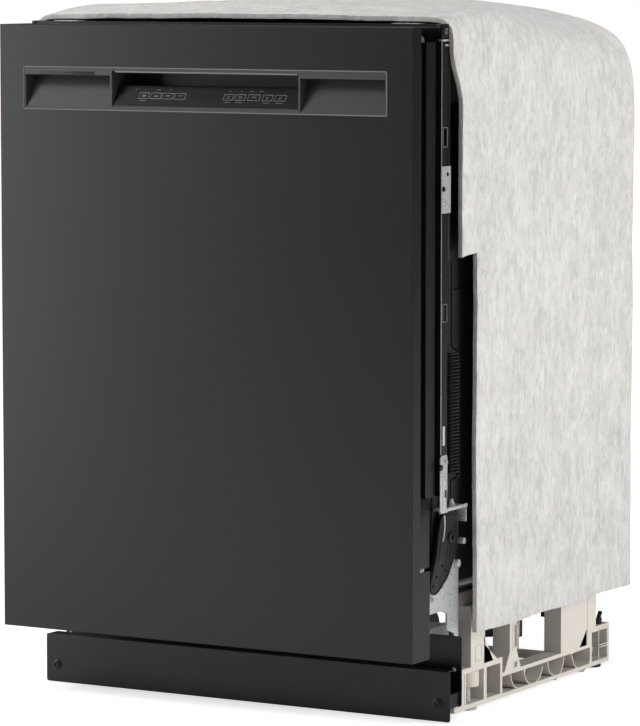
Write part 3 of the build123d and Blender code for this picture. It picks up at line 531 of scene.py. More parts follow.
def ribbon(line, x_low, x_high, wall):
    """A thin wall that follows a line of (y, z) points, between two values of x."""
    count = len(line)
    points = [(x, y, z) for x in (x_low, x_high) for y, z in line]
    faces = [(i, i + 1, count + i + 1, count + i) for i in range(count - 1)]
    piece = from_points("ribbon", points, faces)
    apply(piece, "SOLIDIFY", thickness=wall, offset=0.0)
    edit(piece, lambda: bpy.ops.mesh.normals_make_consistent(inside=False))
    apply(piece, "BEVEL", width=wall * 0.25, segments=1, limit_method="ANGLE", angle_limit=math.radians(50))
    return piece


def arc(centre, radius, start, end, count=12):
    """Points of an arc round a centre, from one angle to another in degrees."""
    angles = [math.radians(start + (end - start) * step / count) for step in range(count + 1)]
    return [(centre[0] + radius * math.cos(angle), centre[1] + radius * math.sin(angle)) for angle in angles]


def bent(points, corner, steps=4):
    """A run of points with its inner corners rounded."""
    points = [Vector(point) for point in points]
    if not corner:
        return points
    line = [points[0]]
    for before, point, after in zip(points, points[1:], points[2:]):
        reach = min(corner, 0.45 * (before - point).length, 0.45 * (after - point).length)
        start = point + (before - point).normalized() * reach
        end = point + (after - point).normalized() * reach
        for step in range(steps + 1):
            share = step / steps
            line.append((1 - share) ** 2 * start + 2 * share * (1 - share) * point + share**2 * end)
    return [*line, points[-1]]


def wires(runs, radius, corner=0.0, closed=False, sides=2):
    """Round wires along runs of points, as one mesh."""
    curve = bpy.data.curves.new("wires", "CURVE")
    curve.dimensions = "3D"
    curve.bevel_depth = radius
    curve.bevel_resolution = sides
    curve.use_fill_caps = True
    for run in runs:
        points = bent(run, corner)
        spline = curve.splines.new("POLY")
        spline.points.add(len(points) - 1)
        for target, point in zip(spline.points, points):
            target.co = (*point, 1.0)
        spline.use_cyclic_u = closed
    piece = bpy.data.objects.new("wires", curve)
    bpy.context.scene.collection.objects.link(piece)
    only(piece)
    bpy.ops.object.convert(target="MESH")
    return bpy.context.object


def copy_of(piece, move=(0.0, 0.0, 0.0), mirror=False):
    """A copy with its own mesh, moved, or mirrored to the other side of the machine."""
    made = piece.copy()
    made.data = piece.data.copy()
    bpy.context.scene.collection.objects.link(made)
    made.data.transform(Matrix.Translation(move))
    if mirror:
        made.data.transform(Matrix.Scale(-1.0, 4, ACROSS))
        edit(made, lambda: bpy.ops.mesh.normals_make_consistent(inside=False))
    return made


def joined(pieces):
    """Several pieces as one object."""
    clear_selection()
    for piece in pieces:
        piece.select_set(True)
    bpy.context.view_layer.objects.active = pieces[0]
    if len(pieces) > 1:
        bpy.ops.object.join()
    return bpy.context.object


def done(piece, name, body, slot, stands_for=(), angle=35.0):
    """Names a piece, shades it, gives it its finish and puts it on its body."""
    piece.name = name
    piece.data.name = name
    only(piece)
    bpy.ops.object.transform_apply(location=True, rotation=True, scale=True)
    bpy.ops.object.shade_smooth_by_angle(angle=math.radians(angle))
    piece.data.materials.clear()
    piece.data.materials.append(finish_for(slot))
    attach(piece, body)
    if stands_for:
        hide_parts(*stands_for)
    return piece


def both_sides(pieces):
    """Pieces of the right side with their mirrored copies."""
    return [*pieces, *(copy_of(piece, mirror=True) for piece in pieces)]


def turned(profile, centre, axis, steps=32):
    """A shape turned round an axis through a centre, from a closed profile of (radius, along) points."""
    axis = Vector(axis)
    out = axis.orthogonal().normalized()
    points = [Vector(centre) + out * radius + axis * along for radius, along in profile]
    count = len(points)
    piece = from_points("turned", points, [])
    piece.data.edges.add(count)
    piece.data.edges.foreach_set("vertices", [end for i in range(count) for end in (i, (i + 1) % count)])
    edit(
        piece,
        lambda: bpy.ops.mesh.spin(
            steps=steps, angle=2 * math.pi, center=centre, axis=axis, use_auto_merge=True
        ),
        lambda: bpy.ops.mesh.select_all(action="SELECT"),
        lambda: bpy.ops.mesh.remove_doubles(threshold=0.01 * MM),
        lambda: bpy.ops.mesh.normals_make_consistent(inside=False),
    )
    return piece


def screw_head(place, axis, radius, rise, sides=6):
    """A washer-head screw with a drive recess, standing on a place."""
    axis = Vector(axis)
    rim, dome = 0.25 * rise, 0.4 * rise
    profile = [(0.0, 0.0), (radius, 0.0), (radius, rim), (0.8 * radius, dome), (0.0, dome)]
    washer = turned(profile, place, axis, steps=20)
    middle = Vector(place) + axis * rise * 0.65
    clear_selection()
    bpy.ops.mesh.primitive_cylinder_add(
        vertices=sides,
        radius=0.62 * radius,
        depth=0.7 * rise,
        location=middle,
        rotation=axis.to_track_quat("Z", "Y").to_euler(),
    )
    head = bpy.context.object
    bpy.ops.object.transform_apply(location=True, rotation=True, scale=True)
    for polygon in head.data.polygons:
        polygon.select = polygon.normal.dot(axis) > 0.9
    only(head)
    bpy.ops.object.mode_set(mode="EDIT")
    bpy.ops.mesh.select_mode(type="FACE")
    bpy.ops.mesh.inset(thickness=0.22 * radius)
    bpy.ops.mesh.extrude_region_move(TRANSFORM_OT_translate={"value": -0.35 * rise * axis})
    bpy.ops.object.mode_set(mode="OBJECT")
    return joined([washer, head])


def rectangle(y, z, x):
    """Corners of a rectangle that stands at one value of x."""
    return [(x, y[0], z[0]), (x, y[1], z[0]), (x, y[1], z[1]), (x, y[0], z[1])]


def mm(*numbers):
    """Millimetres as metres."""
    return tuple(number * MM for number in numbers)


def mm_pairs(*pairs):
    """Pairs of millimetres, such as the (y, z) points of an outline, as metres."""
    return [(first * MM, second * MM) for first, second in pairs]


# ------------------------------------------------------------------ operators


class FinishModel(bpy.types.Operator):
    """Give every piece of the engineering model its finish"""

    bl_idname = "dishwasher.finish_model"
    bl_label = "Finish the model"

    def execute(self, context):
        for name, node in frame["nodes"].items():
            node.data.materials.clear()
            node.data.materials.append(finish_for(NODE_FINISHES.get(name, SLOTS[name])))
        return {"FINISHED"}


def softened(outline, softness, spacing):
    """An outline whose corners are rounded by repeated averaging, with its ends kept."""
    rounds = int(2.0 * (softness / spacing) ** 2)
    for _ in range(rounds):
        outline[1:-1] = (outline[:-2] + 2.0 * outline[1:-1] + outline[2:]) / 4.0
    return outline


def arch(half, foot, crown, sag, softness, count):
    """Evenly spaced (x, z) points: up the right side, over the crowned top and down the left."""
    side = [(half, foot), (half, crown - sag)]
    top = [(half * math.cos(t), crown - sag * math.cos(t) ** 2) for t in np.linspace(0.0, math.pi, 41)]
    line = np.array([*side, *top[1:], (-half, foot)])
    steps = np.hypot(*np.diff(line, axis=0).T)
    along = np.concatenate([[0.0], np.cumsum(steps)])
    even_steps = np.linspace(0.0, along[-1], count)
    outline = np.column_stack([np.interp(even_steps, along, line[:, axis]) for axis in (0, 1)])
    return softened(outline, softness, even_steps[1])


def inset(outline, distance):
    """An outline moved inwards, square to itself."""
    along = np.gradient(outline, axis=0)
    along /= np.hypot(*along.T)[:, None]
    return outline + distance * np.column_stack([-along[:, 1], along[:, 0]])


class MakeBlanket(bpy.types.Operator):
    """Make the felt blanket that wraps the tub"""

    bl_idname = "dishwasher.make_blanket"
    bl_label = "Felt blanket"

    notch_columns = 5  # columns of cells in the part that is cut back
    back_steps = 6  # steps round the back edges
    shoulder = 52 * MM  # from the crown down to where the front edge starts to draw back
    draw_back = 0.07  # height over which it draws back
    hem_reach = 0.06  # height over which the hem's waves fade

    def execute(self, context):
        sizes = context.scene.dishwasher_blanket
        low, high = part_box("insulation_blanket")
        half = high.x
        crown = high.z
        count = int((2 * (crown - low.z) + 2 * half) / sizes.cell) | 1
        straight = high.y - sizes.back_round
        first = low.y + sizes.front_slack + sizes.cell
        notch = low.y + sizes.front_slack + sizes.notch_depth
        cut_back = np.linspace(first, notch, self.notch_columns)
        depths = [low.y, *cut_back, *np.arange(notch, straight, sizes.cell)[1:], straight]
        points, rings = [], []
        for depth in depths:
            share = (depth - low.y) / (straight - low.y)
            share = share * share * (3 - 2 * share)
            sag = sizes.front_sag + (sizes.rear_sag - sizes.front_sag) * share
            corner = sizes.front_corner + (sizes.rear_corner - sizes.front_corner) * share
            rise = min(1.0, (depth - low.y) / sizes.front_rise)
            top = sizes.front_top + (crown - sizes.front_top) * rise * (2 - rise)
            outline = arch(half, low.z, top, sag, corner, count)
            rings.append(range(len(points), len(points) + count))
            for x, z in outline:
                y = depth
                if depth == low.y:
                    drop = min(1.0, max(0.0, (crown - self.shoulder - z) / self.draw_back))
                    reach = sizes.front_slack + sizes.front_lead
                    y += reach * drop * drop * (3 - 2 * drop) - sizes.front_lead
                points.append((x, y, z))
        last = arch(half, low.z, crown, sizes.rear_sag, sizes.rear_corner, count)
        for step in range(1, self.back_steps + 1):
            angle = math.radians(90.0 * step / self.back_steps)
            outline = inset(last, sizes.back_round * (1 - math.cos(angle)))
            rings.append(range(len(points), len(points) + count))
            points += [(x, straight + sizes.back_round * math.sin(angle), z) for x, z in outline]

        def cut_away(column, point):
            on_side = abs(point[0]) > half - 2 * MM
            return column < self.notch_columns and on_side and point[2] < sizes.notch_top

        faces = [
            (this[i], this[i + 1], after[i + 1], after[i])
            for column, (this, after) in enumerate(zip(rings, rings[1:]))
            for i in range(count - 1)
            if not cut_away(column, points[this[i]])
        ]
        # the flat back, row by row from one side to the other
        edge = rings[-1]
        columns = int(2 * half / sizes.cell)
        rows = []
        for i in range(count // 2):
            right, left = np.array(points[edge[i]]), np.array(points[edge[count - 1 - i]])
            inner = range(len(points), len(points) + columns - 1)
            points += [tuple(right + (left - right) * step / columns) for step in range(1, columns)]
            rows.append([edge[i], *inner, edge[count - 1 - i]])
        rows.append([edge[count // 2]] * (columns + 1))
        for this, after in zip(rows, rows[1:]):
            faces += [(this[i], this[i + 1], after[i + 1], after[i]) for i in range(columns)]
        faces = [tuple(dict.fromkeys(face)) for face in faces]
        piece = from_points("blanket", points, [face for face in faces if len(face) > 2])
        edit(
            piece,
            lambda: bpy.ops.mesh.remove_doubles(threshold=1.8 * MM),
            lambda: bpy.ops.mesh.delete_loose(),
            lambda: bpy.ops.mesh.normals_make_consistent(inside=False),
        )
        piece.data.update()
        moved = [self.loosened(vertex, sizes, low) for vertex in piece.data.vertices]
        for vertex, place in zip(piece.data.vertices, moved):
            vertex.co = place
        apply(piece, "SOLIDIFY", thickness=sizes.wall, offset=-1.0, use_even_offset=False)
        apply(piece, "BEVEL", width=3.0 * MM, segments=2, limit_method="ANGLE", angle_limit=math.radians(55))
        done(piece, "felt_blanket", "root", "felt", ("insulation_blanket",), angle=70.0)
        return {"FINISHED"}

    def loosened(self, vertex, sizes, low):
        """A vertex moved as loose felt lies: long waves, small puckers and a wavy hem."""
        place = vertex.co.copy()
        wave = noise.noise(Vector((place.x * 5.0, place.y * 6.0, place.z * 4.0)))
        apart = Vector((7.0, 3.0, 1.0))
        pucker = noise.noise(Vector((place.x * 24.0, place.y * 24.0, place.z * 11.0)) + apart)
        lint = noise.noise(place * 75.0)
        loose = sizes.waviness
        move = loose * wave + 0.45 * loose * pucker + 0.22 * loose * lint - 1.0 * MM
        near_hem = max(0.0, 1.0 - (place.z - low.z) / self.hem_reach)
        hem = sizes.hem_wave * noise.noise(Vector((place.x * 7.0, place.y * 7.0 + 4.0, 0.0)))
        return place + vertex.normal * move + Vector((0.0, 0.0, near_hem * (hem + 0.3 * sizes.hem_wave)))


class MakeSprings(bpy.types.Operator):
    """Wind the two door springs with their links"""

    bl_idname = "dishwasher.make_springs"
    bl_label = "Door springs"

    def execute(self, context):
        sizes = context.scene.dishwasher_springs
        low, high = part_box("door_springs")
        x = high.x - sizes.coil
        y = (low.y + high.y) / 2
        wound = sizes.coil - sizes.wire
        clear_selection()
        bpy.ops.mesh.primitive_circle_add(
            vertices=8, radius=sizes.wire, location=(x, y, sizes.coil_low), rotation=(math.pi / 2, 0.0, 0.0)
        )
        coil = bpy.context.object
        bpy.ops.object.transform_apply(location=False, rotation=True, scale=True)
        edit(coil, lambda: bpy.ops.transform.translate(value=(wound, 0.0, 0.0)))
        apply(
            coil,
            "SCREW",
            angle=2 * math.pi,
            screw_offset=(sizes.coil_high - sizes.coil_low) / sizes.turns,
            iterations=sizes.turns,
            steps=18,
            render_steps=18,
            use_smooth_shade=True,
        )
        edit(
            coil,
            lambda: bpy.ops.mesh.remove_doubles(threshold=0.01 * MM),
            lambda: bpy.ops.mesh.fill_holes(sides=0),
            lambda: bpy.ops.mesh.normals_make_consistent(inside=False),
        )
        only(coil)
        bpy.ops.object.transform_apply(location=True, rotation=True, scale=True)
        hook = 7.0 * MM
        out = x + wound
        foot, head = sizes.coil_low, sizes.coil_high
        below = [(x, low.z), (x, foot - hook), (out, foot - hook / 2), (out, foot)]
        above = [(out, head), (out, head + hook / 2), (x, head + hook), (x, high.z - 2 * MM)]
        runs = [[(across, y, z) for across, z in run] for run in (below, above)]
        links = wires(runs, sizes.link, corner=4.0 * MM)
        right = joined([coil, links])
        left = copy_of(right, mirror=True)
        done(right, "door_spring_right", "root", "black_steel", ("door_springs",), angle=60.0)
        done(left, "door_spring_left", "root", "black_steel", ("door_springs",), angle=60.0)
        return {"FINISHED"}


class MakeConsoleLines(bpy.types.Operator):
    """Add light grey lines as painted highlights on the pocket's edges, and the printed outlines and marks of
    the keys
    """

    bl_idname = "dishwasher.make_console_lines"
    bl_label = "Console lines and key marks"

    def execute(self, context):
        sizes = context.scene.dishwasher_console
        low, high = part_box("console_housing")
        overlay_low, overlay_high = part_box("console_overlay")
        trim = low.y - 0.2 * MM
        # light grey wires on the pocket's rim and along the grip's edge: painted highlights
        edge = wires(
            [[(low.x, trim, low.z), (high.x, trim, low.z), (high.x, trim, high.z), (low.x, trim, high.z)]],
            sizes.trim,
            corner=2.0 * MM,
            closed=True,
        )
        done(edge, "pocket_edge_highlight", "door", "grey_plastic")
        left, right = overlay_low.x, overlay_high.x
        grip = high.z - 5.0 * MM
        lip = wires([[(left + 4 * MM, trim + 1 * MM, grip), (right, trim + 1 * MM, grip)]], sizes.lip)
        done(lip, "grip_lip_highlight", "door", "grey_plastic")
        # a black strip under the grip's lip: painted shade in its shallow recess
        vent = slab(mm(-242.0, -320.6, 808.6), mm(-158.0, -319.0, 812.4))
        done(vent, "pocket_recess_painted_shade", "door", "black_plastic")
        self.up = Vector((0.0, math.sin(math.radians(sizes.tilt)), math.cos(math.radians(sizes.tilt))))
        self.out = Vector((0.0, -self.up.z, self.up.y))
        middle = {name: self.middle(f"{name}_key") for name in KEYS}
        for name, (centre, half) in middle.items():
            runs = [self.box(centre, half - 0.5 * MM, 4.2 * MM)]
            outline = wires(runs, sizes.outline, corner=1.0 * MM, closed=True, sides=1)
            icon = wires(self.icon(name, centre), 0.8 * sizes.outline, sides=1)
            done(joined([outline, icon]), f"{name}_mark", f"{name}_key", "light_plastic")
        # status marks above the keys and short captions below them
        lamp, pointer = 1.2, 3.2
        status = [(-70.0, 3.0), (67.0, pointer), (81.0, pointer)]
        status += [(place, lamp) for place in (-103.0, -52.0, 36.0, 52.0)]
        above, below, caption = 9.0, -7.4, 4.5
        marks = [self.dash(middle["normal"][0], place, above, half) for place, half in status]
        for name in ("heavy", "heat", "delay", "start", "cancel"):
            centre = middle[name][0]
            marks.append(self.dash(centre, centre.x / MM, below, caption))
        done(wires(marks, 0.8 * sizes.outline, sides=1), "status_marks", "door", "light_plastic")
        return {"FINISHED"}

    def middle(self, node):
        """The middle of a key's face and half of its width."""
        low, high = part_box(node)
        return (low + high) / 2 + self.out * 1.55 * MM, (high.x - low.x) / 2

    def box(self, centre, half, rise):
        """Corners of an outline on the console's slope."""
        along = Vector(ACROSS)
        corners = ((-1, -1), (1, -1), (1, 1), (-1, 1))
        return [centre + along * a * half + self.up * b * rise for a, b in corners]

    def dash(self, centre, place, rise, half):
        """A short line on the slope."""
        point = Vector((place * MM, centre.y, centre.z)) + self.up * rise * MM
        return [point - Vector((half * MM, 0.0, 0.0)), point + Vector((half * MM, 0.0, 0.0))]

    def icon(self, name, centre):
        """Lines of a plain symbol: bars, an arrow or a square."""
        bars = {
            "heavy": (-1.2, 0.0, 1.2),
            "normal": (0.0, -0.9),
            "light": (0.0, 0.9),
            "rinse": (0.6,),
            "heat": (-1.4, 1.4),
            "delay": (0.9, -0.9),
            "lock": (1.2, 0.0),
        }
        if name in bars:
            return [self.dash(centre, centre.x / MM, rise, 3.6 - abs(rise)) for rise in bars[name]]
        shapes = {
            "start": ((-1.6, -1.8), (-1.6, 1.8), (1.9, 0.0), (-1.6, -1.8)),
            "cancel": ((-1.4, -1.4), (1.4, -1.4), (1.4, 1.4), (-1.4, 1.4), (-1.4, -1.4)),
        }
        along = Vector(ACROSS)
        return [[centre + along * a * MM + self.up * b * MM for a, b in shapes[name]]]


class MakeFlangeDetails(bpy.types.Operator):
    """Add the edge strips (a painted highlight down the front edge, zinc strips at the top), slot rims,
    corner block, a strip of painted shade at the back, and screws of the tub frame's sides
    """

    bl_idname = "dishwasher.make_flange_details"
    bl_label = "Frame edge details"

    def execute(self, context):
        low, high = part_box("tub_frame")
        face = high.x
        front, back = low.y, high.y
        top = high.z
        root, rear = face - 4 * MM, back + 1 * MM
        strip_foot, gap_shade_foot, strip_top = 342 * MM, 584 * MM, top - 22 * MM
        # light strips: the one down the front edge is a painted highlight; the two across the top are zinc
        # bracket edges
        bright = [
            slab(
                (face - 0.6 * MM, front - 0.9 * MM, strip_foot),
                (face + 0.5 * MM, front + 0.1 * MM, strip_top),
            ),
            slab((root, front - 1.5 * MM, top - 21 * MM), (face + 1.2 * MM, rear, top - 18.5 * MM)),
            slab((root, front + 8 * MM, top - 27 * MM), (face + 1.0 * MM, rear, top - 24.5 * MM)),
        ]
        done(joined(both_sides(bright)), "frame_highlight_and_zinc_strips", "root", "galvanised_steel")
        # dark pieces: the corner block at the top, and a black strip behind the frame's back edge as painted
        # shade in the gap to the felt
        dark = [
            slab(
                (face - 5 * MM, front - 1.2 * MM, top - 17.5 * MM),
                (face + 0.9 * MM, rear, top + 0.4 * MM),
            ),
            slab(
                (face - 1 * MM, back - 0.6 * MM, gap_shade_foot),
                (face + 0.6 * MM, back + 5 * MM, strip_top),
            ),
        ]
        done(joined(both_sides(dark)), "frame_corner_blocks_and_gap_shade", "root", "black_steel")
        rims = [
            rectangle((front + 3 * MM, back - 2 * MM), span, face + 0.2 * MM)
            for span in (mm(507.0, 529.0), mm(724.0, 748.0))
        ]
        rim = wires(rims, 0.55 * MM, corner=1.5 * MM, closed=True, sides=1)
        eye_place = (face + 1.0 * MM, front + 9 * MM, top - 8.5 * MM)
        eye_profile = mm_pairs((2.4, -0.6), (3.6, -0.6), (3.6, 0.5), (2.4, 0.5))
        eye = turned(eye_profile, eye_place, ACROSS, steps=20)
        done(joined(both_sides([rim, eye])), "frame_slot_rims", "root", "grey_plastic")
        window = slab(
            (face - 0.4 * MM, front + 4.5 * MM, 353 * MM),
            (face + 0.3 * MM, back - 6 * MM, 377 * MM),
            edge=2 * MM,
        )
        done(joined(both_sides([window])), "frame_light_slots", "root", "light_plastic")
        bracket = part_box("side_brackets")[1].x
        heads = [
            screw_head((bracket, front + 3 * MM, 672 * MM), ACROSS, 3.6 * MM, 1.8 * MM, sides=8),
            screw_head((bracket, front + 14 * MM, 690 * MM), ACROSS, 2.6 * MM, 1.2 * MM, sides=8),
        ]
        done(joined(both_sides(heads)), "frame_screws", "root", "black_steel")
        return {"FINISHED"}


class MakeHingeDetails(bpy.types.Operator):
    """Add the hinge cams, strap, rivets, bolts and hooks beside the door, with a painted gleam on the cam and
    painted shade in the strap's hole
    """

    bl_idname = "dishwasher.make_hinge_details"
    bl_label = "Hinge details"

    def execute(self, context):
        low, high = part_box("hinge_cams")
        face = high.x
        outline = [
            *mm_pairs((-253, 178), (-252, 169), (-243, 165), (-232, 168), (-207, 184)),
            *mm_pairs((-194, 202), (-184, 224), (-181, 244), (-184, 258), (-191, 266)),
            *mm_pairs((-203, 267.5), (-216, 266), (-226, 258), (-231, 240), (-236, 215)),
        ]
        cam = plate(outline, low.x if low.x > 0 else face - 4 * MM, face, edge=1.0 * MM)
        rim = [[(face, y, z) for y, z in outline]]
        rims = wires(rim, 1.1 * MM, corner=4 * MM, closed=True)
        slots = wires(
            [
                [(face, y, z) for y, z in mm_pairs((-222, 256), (-222, 240), (-227, 222), (-233, 206))],
                [(face, y, z) for y, z in mm_pairs((-209, 258), (-202, 247), (-203, 228), (-212, 212))],
                [(face, y, z) for y, z in mm_pairs((-200, 256), (-193, 245), (-195, 226), (-204, 208))],
            ],
            0.9 * MM,
            corner=12 * MM,
        )
        boss_profile = mm_pairs((3.2, -1), (7.0, -1), (7.0, 2.4), (5.6, 3.2), (3.2, 3.2))
        boss = turned(boss_profile, (face, -200 * MM, 233 * MM), ACROSS)
        pins = [
            screw_head((face, y, z), ACROSS, 2.4 * MM, 1.6 * MM)
            for y, z in mm_pairs((-222, 199), (-237, 187), (-245, 176), (-212, 192))
        ]
        cams = joined(both_sides([cam, rims, slots, boss, *pins]))
        done(cams, "hinge_cam_plates", "root", "black_plastic", ("hinge_cams",))
        # a light wire along the cam plate's edge: a painted gleam
        gleam_line = mm_pairs((-217, 262), (-216, 250), (-218, 238), (-221, 230))
        gleam = wires([[(face + 0.3 * MM, y, z) for y, z in gleam_line]], 1.2 * MM, corner=10 * MM)
        pin_y, pin_z = -171 * MM, 225 * MM
        tip_y, tip_z = -178 * MM, 197 * MM
        pin = rod((face - 4 * MM, pin_y, pin_z), (face + 5 * MM, pin_y, pin_z), 4.0 * MM)
        tip = rod((face - 6 * MM, tip_y, tip_z), (face + 1 * MM, tip_y, tip_z), 5.0 * MM)
        bolts = [
            screw_head((286.5 * MM, y, z), ACROSS, 4.6 * MM, 3.0 * MM)
            for y, z in mm_pairs((-240, 158), (-213, 172))
        ]
        foot = screw_head((287.2 * MM, -171.5 * MM, 76 * MM), ACROSS, 4.2 * MM, 3.2 * MM)
        hook_line = mm_pairs((-172, 88), (-170, 72), (-174, 63), (-181, 60), (-184, 63))
        hook = wires([[(288.6 * MM, y, z) for y, z in hook_line]], 2.0 * MM, corner=6 * MM)
        shelf = 272 * MM
        stud_x, stud_y = 290.5 * MM, -196 * MM
        post = rod((stud_x, stud_y, shelf), (stud_x, stud_y, shelf + 9 * MM), 3.2 * MM)
        nut = screw_head((stud_x, stud_y, shelf), UPWARDS, 7.0 * MM, 5.0 * MM)
        edge = slab(
            (299.2 * MM, -232 * MM, shelf - 3.2 * MM), (301.2 * MM, -171 * MM, shelf + 1.2 * MM)
        )
        drop = slab((286 * MM, -173.5 * MM, 250 * MM), (300 * MM, -171.5 * MM, shelf))
        silver = joined(both_sides([gleam, pin, tip, *bolts, foot, hook, post, nut, edge, drop]))
        done(silver, "hinge_bolts_hooks_and_gleam", "root", "galvanised_steel")
        # a shield on the door hides its hinge arm
        panel_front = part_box("outer_door_panel")[0].y
        cover = slab(
            (face - 0.6 * MM, panel_front + 22 * MM, 202 * MM),
            (face + 1.0 * MM, panel_front + 63 * MM, 291 * MM),
        )
        done(joined(both_sides([cover])), "door_side_shields", "door", "black_steel")
        # the strap that ties the frame's foot to the hinge shelf
        strap_outline = [
            *mm_pairs((-247.5, 272), (-247.5, 338), (-243, 341), (-231, 341)),
            *mm_pairs((-229, 338), (-229, 300), (-231, 272)),
        ]
        strap = plate(strap_outline, 301.4 * MM, 303.0 * MM)
        fold = wires([[(303.2 * MM, y, z) for y, z in mm_pairs((-241.5, 274), (-241.5, 330))]], 0.9 * MM)
        toe = plate(mm_pairs((-247.5, 273), (-229, 273), (-226, 268), (-244, 268)), 299 * MM, 302.6 * MM)
        rivet = screw_head((303.0 * MM, -234.5 * MM, 332 * MM), ACROSS, 4.4 * MM, 2.2 * MM, sides=12)
        done(joined(both_sides([strap, fold, toe, rivet])), "hinge_straps", "root", "galvanised_steel")
        cap_y, cap_z = -246 * MM, 326 * MM
        cap = rod((301.0 * MM, cap_y, cap_z), (304.2 * MM, cap_y, cap_z), 4.0 * MM, edge=1.2 * MM)
        # a black slab over the strap's hole: painted shade in the hole
        hole = slab(mm(302.0, -236.5, 287), mm(303.3, -231.5, 297), edge=2 * MM)
        done(joined(both_sides([cap, hole])), "hinge_strap_caps_and_hole_shade", "root", "black_plastic")
        return {"FINISHED"}


class MakeTubCoat(bpy.types.Operator):
    """Add the black sound-deadening mats on the outside of the tub, also put there as painted shade that
    darkens the gap between tub and blanket
    """

    bl_idname = "dishwasher.make_tub_coat"
    bl_label = "Tub mats and gap shade"

    def execute(self, context):
        low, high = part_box("wash_tub")
        gap = 0.3 * MM
        face = high.x + gap
        mats = [
            slab(
                (face, low.y + 16 * MM, low.z + 18 * MM),
                (high.x + 3 * MM, high.y - 20 * MM, high.z - 86 * MM),
            ),
            slab(
                (face, low.y + 30 * MM, low.z + 60 * MM),
                (high.x + 5 * MM, high.y - 60 * MM, high.z - 320 * MM),
            ),
        ]
        top = slab((-170 * MM, low.y + 40 * MM, high.z + gap), (170 * MM, high.y - 60 * MM, high.z + 3 * MM))
        done(joined([*both_sides(mats), top]), "tub_mats_and_gap_shade", "root", "seal_rubber")
        return {"FINISHED"}


class MakeBaseDetails(bpy.types.Operator):
    """Add the ribs, gussets, window rims with grey painted shade inside them, and small fittings of the base
    """

    bl_idname = "dishwasher.make_base_details"
    bl_label = "Base details"

    def execute(self, context):
        low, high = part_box("base_frame")
        face = high.x
        inner = face - 24.5 * MM
        wall = 1.6 * MM
        pieces = []
        # curved ribs: (y, z) of the centre, radius, first and last angle
        for y, z, radius, start, end in (
            (2, 31, 22, 180, 262),
            (40, 31, 22, 180, 262),
            (50, 31, 22, 278, 350),
            (109, 31, 22, 180, 262),
            (100, 36, 36, 290, 350),
            (196, 42, 40, 192, 262),
            (186, 36, 36, 282, 350),
        ):
            line = arc((y * MM, z * MM), radius * MM, start, end)
            pieces.append(ribbon(line, inner, face - 0.6 * MM, wall))
        pieces += [
            plate(mm_pairs((-98, 94), (-98, 56), (-71, 56)), face - 2.4 * MM, face),
            plate(mm_pairs((202, 58), (202, 35), (179, 35)), face - 2.4 * MM, face),
            slab((inner, -180 * MM, low.z), (face + 0.6 * MM, -178 * MM, 57 * MM)),
            slab((face - 1.4 * MM, -1.4 * MM, 60 * MM), (face + 0.8 * MM, 0.4 * MM, 134 * MM)),
            slab((face - 1.4 * MM, -18.6 * MM, 60 * MM), (face + 0.8 * MM, -16.8 * MM, 134 * MM)),
            slab((face - 1.4 * MM, 203 * MM, 36 * MM), (face + 0.8 * MM, 205 * MM, 134 * MM)),
            rod((274.5 * MM, -120 * MM, 30 * MM), (274.5 * MM, -120 * MM, 50 * MM), 15 * MM, edge=1 * MM),
        ]
        rims = [
            rectangle(mm(-13.0, -5.0), mm(64.0, 94.0), face),
            rectangle(mm(-13.0, -4.0), mm(37.0, 46.0), face),
            rectangle(mm(-175.0, -151.0), mm(10.0, 50.0), face),
            rectangle(mm(-167.0, -158.0), mm(30.0, 45.0), face),
            rectangle(mm(238.0, 268.0), mm(8.0, 27.0), face),
            rectangle(mm(238.0, 268.0), mm(30.0, 53.0), face),
            rectangle(mm(-122.0, -104.0), mm(62.0, 82.0), face),
        ]
        pieces.append(wires(rims, 1.0 * MM, corner=1.2 * MM, closed=True, sides=1))
        done(joined(both_sides(pieces)), "base_ribs_and_gussets", "root", "beige_plastic")
        # grey slabs inside the window rims: painted shade of the recessed windows
        shades = [
            slab((face - 0.5 * MM, -12 * MM, 65 * MM), (face + 0.1 * MM, -6 * MM, 93 * MM)),
            slab((face - 0.5 * MM, -12 * MM, 38 * MM), (face + 0.1 * MM, -5 * MM, 45 * MM)),
            slab((face - 0.5 * MM, -166 * MM, 31 * MM), (face + 0.1 * MM, -159 * MM, 44 * MM)),
        ]
        plug = slab((face - 9 * MM, 246 * MM, 57 * MM), (face - 3 * MM, 256 * MM, 66 * MM), edge=1.5 * MM)
        nib = rod((face - 6 * MM, 250 * MM, 66 * MM), (face - 6 * MM, 256 * MM, 73 * MM), 3 * MM)
        done(joined(both_sides([plug, nib])), "base_fittings", "root", "black_plastic")
        done(joined(both_sides(shades)), "base_window_painted_shade", "root", "grey_plastic")
        return {"FINISHED"}


